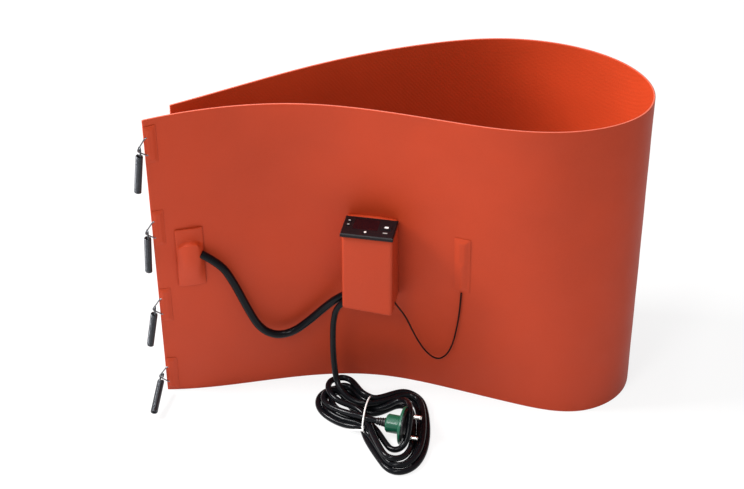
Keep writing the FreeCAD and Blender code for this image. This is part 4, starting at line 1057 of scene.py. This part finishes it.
class MESH_OT_heater_tie(HeaterOperator):
    """Add the flat twist tie round the hank"""
    bl_idname = "mesh.heater_tie"
    bl_label = "Twist Tie"

    def execute(self, context):
        finish = plastic_finish("tie_plastic", tuple(colours().tie), 0.34, 800.0)
        strips = []
        for number, route in enumerate((TIE_LOOP,) + TIE_TAILS):
            line = nurbs_line("tie_line", route, 8, MM)
            line.bevel_depth = TIE_RADIUS
            line.bevel_resolution = 3
            line.use_fill_caps = True
            strips.append(settle(linked("tie_strip_%d" % number, line)))
        work = bmesh.new()
        for strip in strips:
            work.from_mesh(strip.data)
            bpy.data.objects.remove(strip)
        mesh = bpy.data.meshes.new("twist_tie")
        work.to_mesh(mesh)
        work.free()
        mesh.materials.clear()
        mesh.materials.append(finish)
        mesh.shade_smooth()
        tie = linked("twist_tie", mesh)
        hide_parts("hank_tie")
        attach(tie, "band")
        return {"FINISHED"}


class CURVE_OT_heater_cord(HeaterOperator):
    """Add the mains cord, from the control box through its tied hank to the plug"""
    bl_idname = "curve.heater_cord"
    bl_label = "Mains Cord"

    def execute(self, context):
        cord = cord_curve("mains_cord_line", MAINS_ROUTE, sizes().cord_diameter,
                          rubber_finish("cord_rubber", tuple(colours().cord), 0.13, 0.12))
        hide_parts("mains_cord", "mains_hank")
        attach(cord, "band")
        return {"FINISHED"}


class MESH_OT_heater_hardware(HeaterOperator):
    """Finish the wire links and the catches"""
    bl_idname = "mesh.heater_hardware"
    bl_label = "Links and Catches"

    def execute(self, context):
        wire = steel_finish("wire_steel", tuple(colours().wire), 1600.0, 0.2)
        for row in ROWS:
            paint("anchor_link_%d" % row, wire)
            paint("catch_hook_%d" % row, wire)
        paint("sensor_probe", steel_finish("probe_steel", (0.6, 0.6, 0.6), 900.0, 0.22))
        return {"FINISHED"}


class MESH_OT_heater_panel(HeaterOperator):
    """Finish the panel with its window, keys and lamp"""
    bl_idname = "mesh.heater_panel"
    bl_label = "Control Panel"

    def execute(self, context):
        paint("display_window", window_finish())

        def spot(x, out):
            return Vector(in_box(x, out, 0.0)) * MM

        # The pale spots on the up, down and set keys are painted highlights; the bar on the bezel is a printed label.
        for node, x, out, half_width, half_depth, pale in (
                ("up_key", -18.6, 9.6, 0.0010, 0.0009, 0.55), ("down_key", -18.6, 15.6, 0.0010, 0.0009, 0.5),
                ("set_key", 15.2, 15.0, 0.0019, 0.0013, 1.15), ("panel_bezel", 15.2, 22.6, 0.0022, 0.0007, 0.5)):
            paint(node, marked_finish(node + "_plastic", pale, spot(x, out), half_width, half_depth, BOX_TURN, 0.24))
        lamp = Finish("lamp_lens", Specular_IOR_Level=0.6, Coat_Weight=0.6, Coat_Roughness=0.05)
        haze = lamp.noise(900.0, 2.0)
        lamp.feed("Base Color", lamp.mix(haze, (0.55, 0.50, 0.48), (0.80, 0.76, 0.72)))
        lamp.feed("Roughness", haze * 0.1 + 0.15)
        lamp.bump(haze, 0.00001)
        paint("indicator_lamp", lamp.material)
        return {"FINISHED"}


class MESH_OT_heater_inside(HeaterOperator):
    """Finish the parts inside the control box"""
    bl_idname = "mesh.heater_inside"
    bl_label = "Inside of the Control Box"

    def execute(self, context):
        board = board_finish()
        for node in ("display_board", "circuit_board"):
            paint(node, board)
        paint("controller_case", plastic_finish("case_plastic", (0.03, 0.03, 0.032), 0.4, 1200.0))
        for node, name, tint, rough in (
                ("display_module", "digit_plastic", (0.05, 0.045, 0.045), 0.35),
                ("key_switches", "switch_plastic", (0.03, 0.03, 0.03), 0.35),
                ("power_relay", "relay_plastic", (0.02, 0.05, 0.16), 0.35),
                ("transformer", "transformer_shell", (0.04, 0.04, 0.04), 0.45),
                ("terminal_block", "terminal_plastic", (0.02, 0.18, 0.06), 0.35)):
            paint(node, plastic_finish(name, tint, rough))
        return {"FINISHED"}


CAMERA_PLACE = (-0.02576, -1.28482, 1.04640)
CAMERA_TILT = 54.5
FLOOR_GLOW = 0.82  # how white the floor looks, while it keeps the shadow


class OBJECT_OT_heater_stage(HeaterOperator):
    """Add the pale floor, the soft lights and the camera"""
    bl_idname = "object.heater_stage"
    bl_label = "Stage"

    def light(self, name, size, size_y, power, place, target):
        lamp = bpy.data.lights.new(name, "AREA")
        lamp.shape = "RECTANGLE"
        lamp.size = size
        lamp.size_y = size_y
        lamp.energy = power
        item = linked(name, lamp)
        item.location = place
        item.rotation_euler = (Vector(target) - Vector(place)).to_track_quat("-Z", "Y").to_euler()

    def execute(self, context):
        stage = context.scene.heater_stage
        half = 3.0  # metres
        floor = new_piece("floor", [(-half, -half, 0.0), (half, -half, 0.0), (half, half, 0.0), (-half, half, 0.0)],
                          [(0, 1, 2, 3)], [], False)
        paper = Finish("pale_paper", Roughness=0.9, Specular_IOR_Level=0.1)
        grain = paper.noise(300.0, 2.0)
        paper.feed("Base Color", paper.mix(grain, (0.90, 0.90, 0.90), (0.93, 0.93, 0.93)))
        tree = paper.tree
        glow = new_node(tree, "ShaderNodeEmission", None, {"Color": (1.0, 1.0, 1.0, 1.0), "Strength": 1.0})
        path = new_node(tree, "ShaderNodeLightPath")
        seen = (path.out("Is Camera Ray") + path.out("Is Glossy Ray") + path.out("Is Transmission Ray")).clamp()
        blend = new_node(tree, "ShaderNodeMixShader", None,
                         {0: seen * FLOOR_GLOW, 1: Shade(tree, paper.shader.outputs[0]), 2: glow.out(0)})
        tree.links.new(blend.item.outputs[0], tree.nodes["Material Output"].inputs["Surface"])
        floor.data.materials.append(paper.material)

        world = bpy.data.worlds.new("Studio")
        world.use_nodes = True
        room = world.node_tree
        backdrop = room.nodes["Background"]
        backdrop.inputs["Color"].default_value = (1.0, 1.0, 1.0, 1.0)
        rays = new_node(room, "ShaderNodeLightPath")
        shown = (rays.out("Is Camera Ray") + rays.out("Is Transmission Ray")).clamp()
        strength = shown * (1.0 - stage.room_light) + stage.room_light
        room.links.new(strength.socket, backdrop.inputs["Strength"])
        context.scene.world = world

        self.light("Key", 0.45, 0.45, stage.key_power, (-0.60, -1.10, 1.30), (0.0, -0.02, 0.12))
        self.light("Top", 0.5, 0.5, stage.top_power, (-1.25, 0.00, 1.25), (0.15, 0.05, 0.25))
        self.light("Strip", 0.06, 1.0, stage.strip_power, (-0.12, -0.28, 1.45), (-0.03, 0.0, 0.1))

        view = bpy.data.cameras.new("Camera")
        view.sensor_width = 36.0
        view.sensor_fit = "HORIZONTAL"
        view.lens = stage.lens
        view.clip_start = 0.05
        view.clip_end = 20.0
        camera = linked("Camera", view)
        camera.location = CAMERA_PLACE
        camera.rotation_euler = (math.radians(CAMERA_TILT), 0.0, 0.0)
        context.scene.camera = camera
        context.scene.view_settings.view_transform = "Standard"
        return {"FINISHED"}


class VIEW3D_PT_heater(bpy.types.Panel):
    """Sidebar panel that lists the heater band's pieces"""
    bl_idname = "VIEW3D_PT_heater"
    bl_label = "Drum Heater Band"
    bl_space_type = "VIEW_3D"
    bl_region_type = "UI"
    bl_category = "Heater Band"

    def draw(self, context):
        scene = context.scene
        for operator in OPERATORS:
            self.layout.operator(operator.bl_idname)
        for group in (scene.heater_sizes, scene.heater_colours, scene.heater_stage):
            box = self.layout.box()
            for name in group.__annotations__:
                box.prop(group, name)


OPERATORS = (OBJECT_OT_heater_stage, MESH_OT_heater_sheet, MESH_OT_heater_patches, MESH_OT_heater_cover,
             MESH_OT_heater_pocket, MESH_OT_heater_springs, MESH_OT_heater_hardware, MESH_OT_heater_panel,
             MESH_OT_heater_inside, CURVE_OT_heater_leads, MESH_OT_heater_plug, MESH_OT_heater_tie,
             CURVE_OT_heater_cord)
GROUPS = (HeaterColours, HeaterSizes, HeaterStage)
CLASSES = GROUPS + OPERATORS + (VIEW3D_PT_heater,)


def register():
    for item in CLASSES:
        bpy.utils.register_class(item)
    bpy.types.Scene.heater_colours = bpy.props.PointerProperty(type=HeaterColours)
    bpy.types.Scene.heater_sizes = bpy.props.PointerProperty(type=HeaterSizes)
    bpy.types.Scene.heater_stage = bpy.props.PointerProperty(type=HeaterStage)


def unregister():
    del bpy.types.Scene.heater_stage
    del bpy.types.Scene.heater_sizes
    del bpy.types.Scene.heater_colours
    for item in reversed(CLASSES):
        bpy.utils.unregister_class(item)


def main():
    register()
    for operator in OPERATORS:
        group, name = operator.bl_idname.split(".")
        getattr(getattr(bpy.ops, group), name)()


if __name__ == "__main__":
    main()
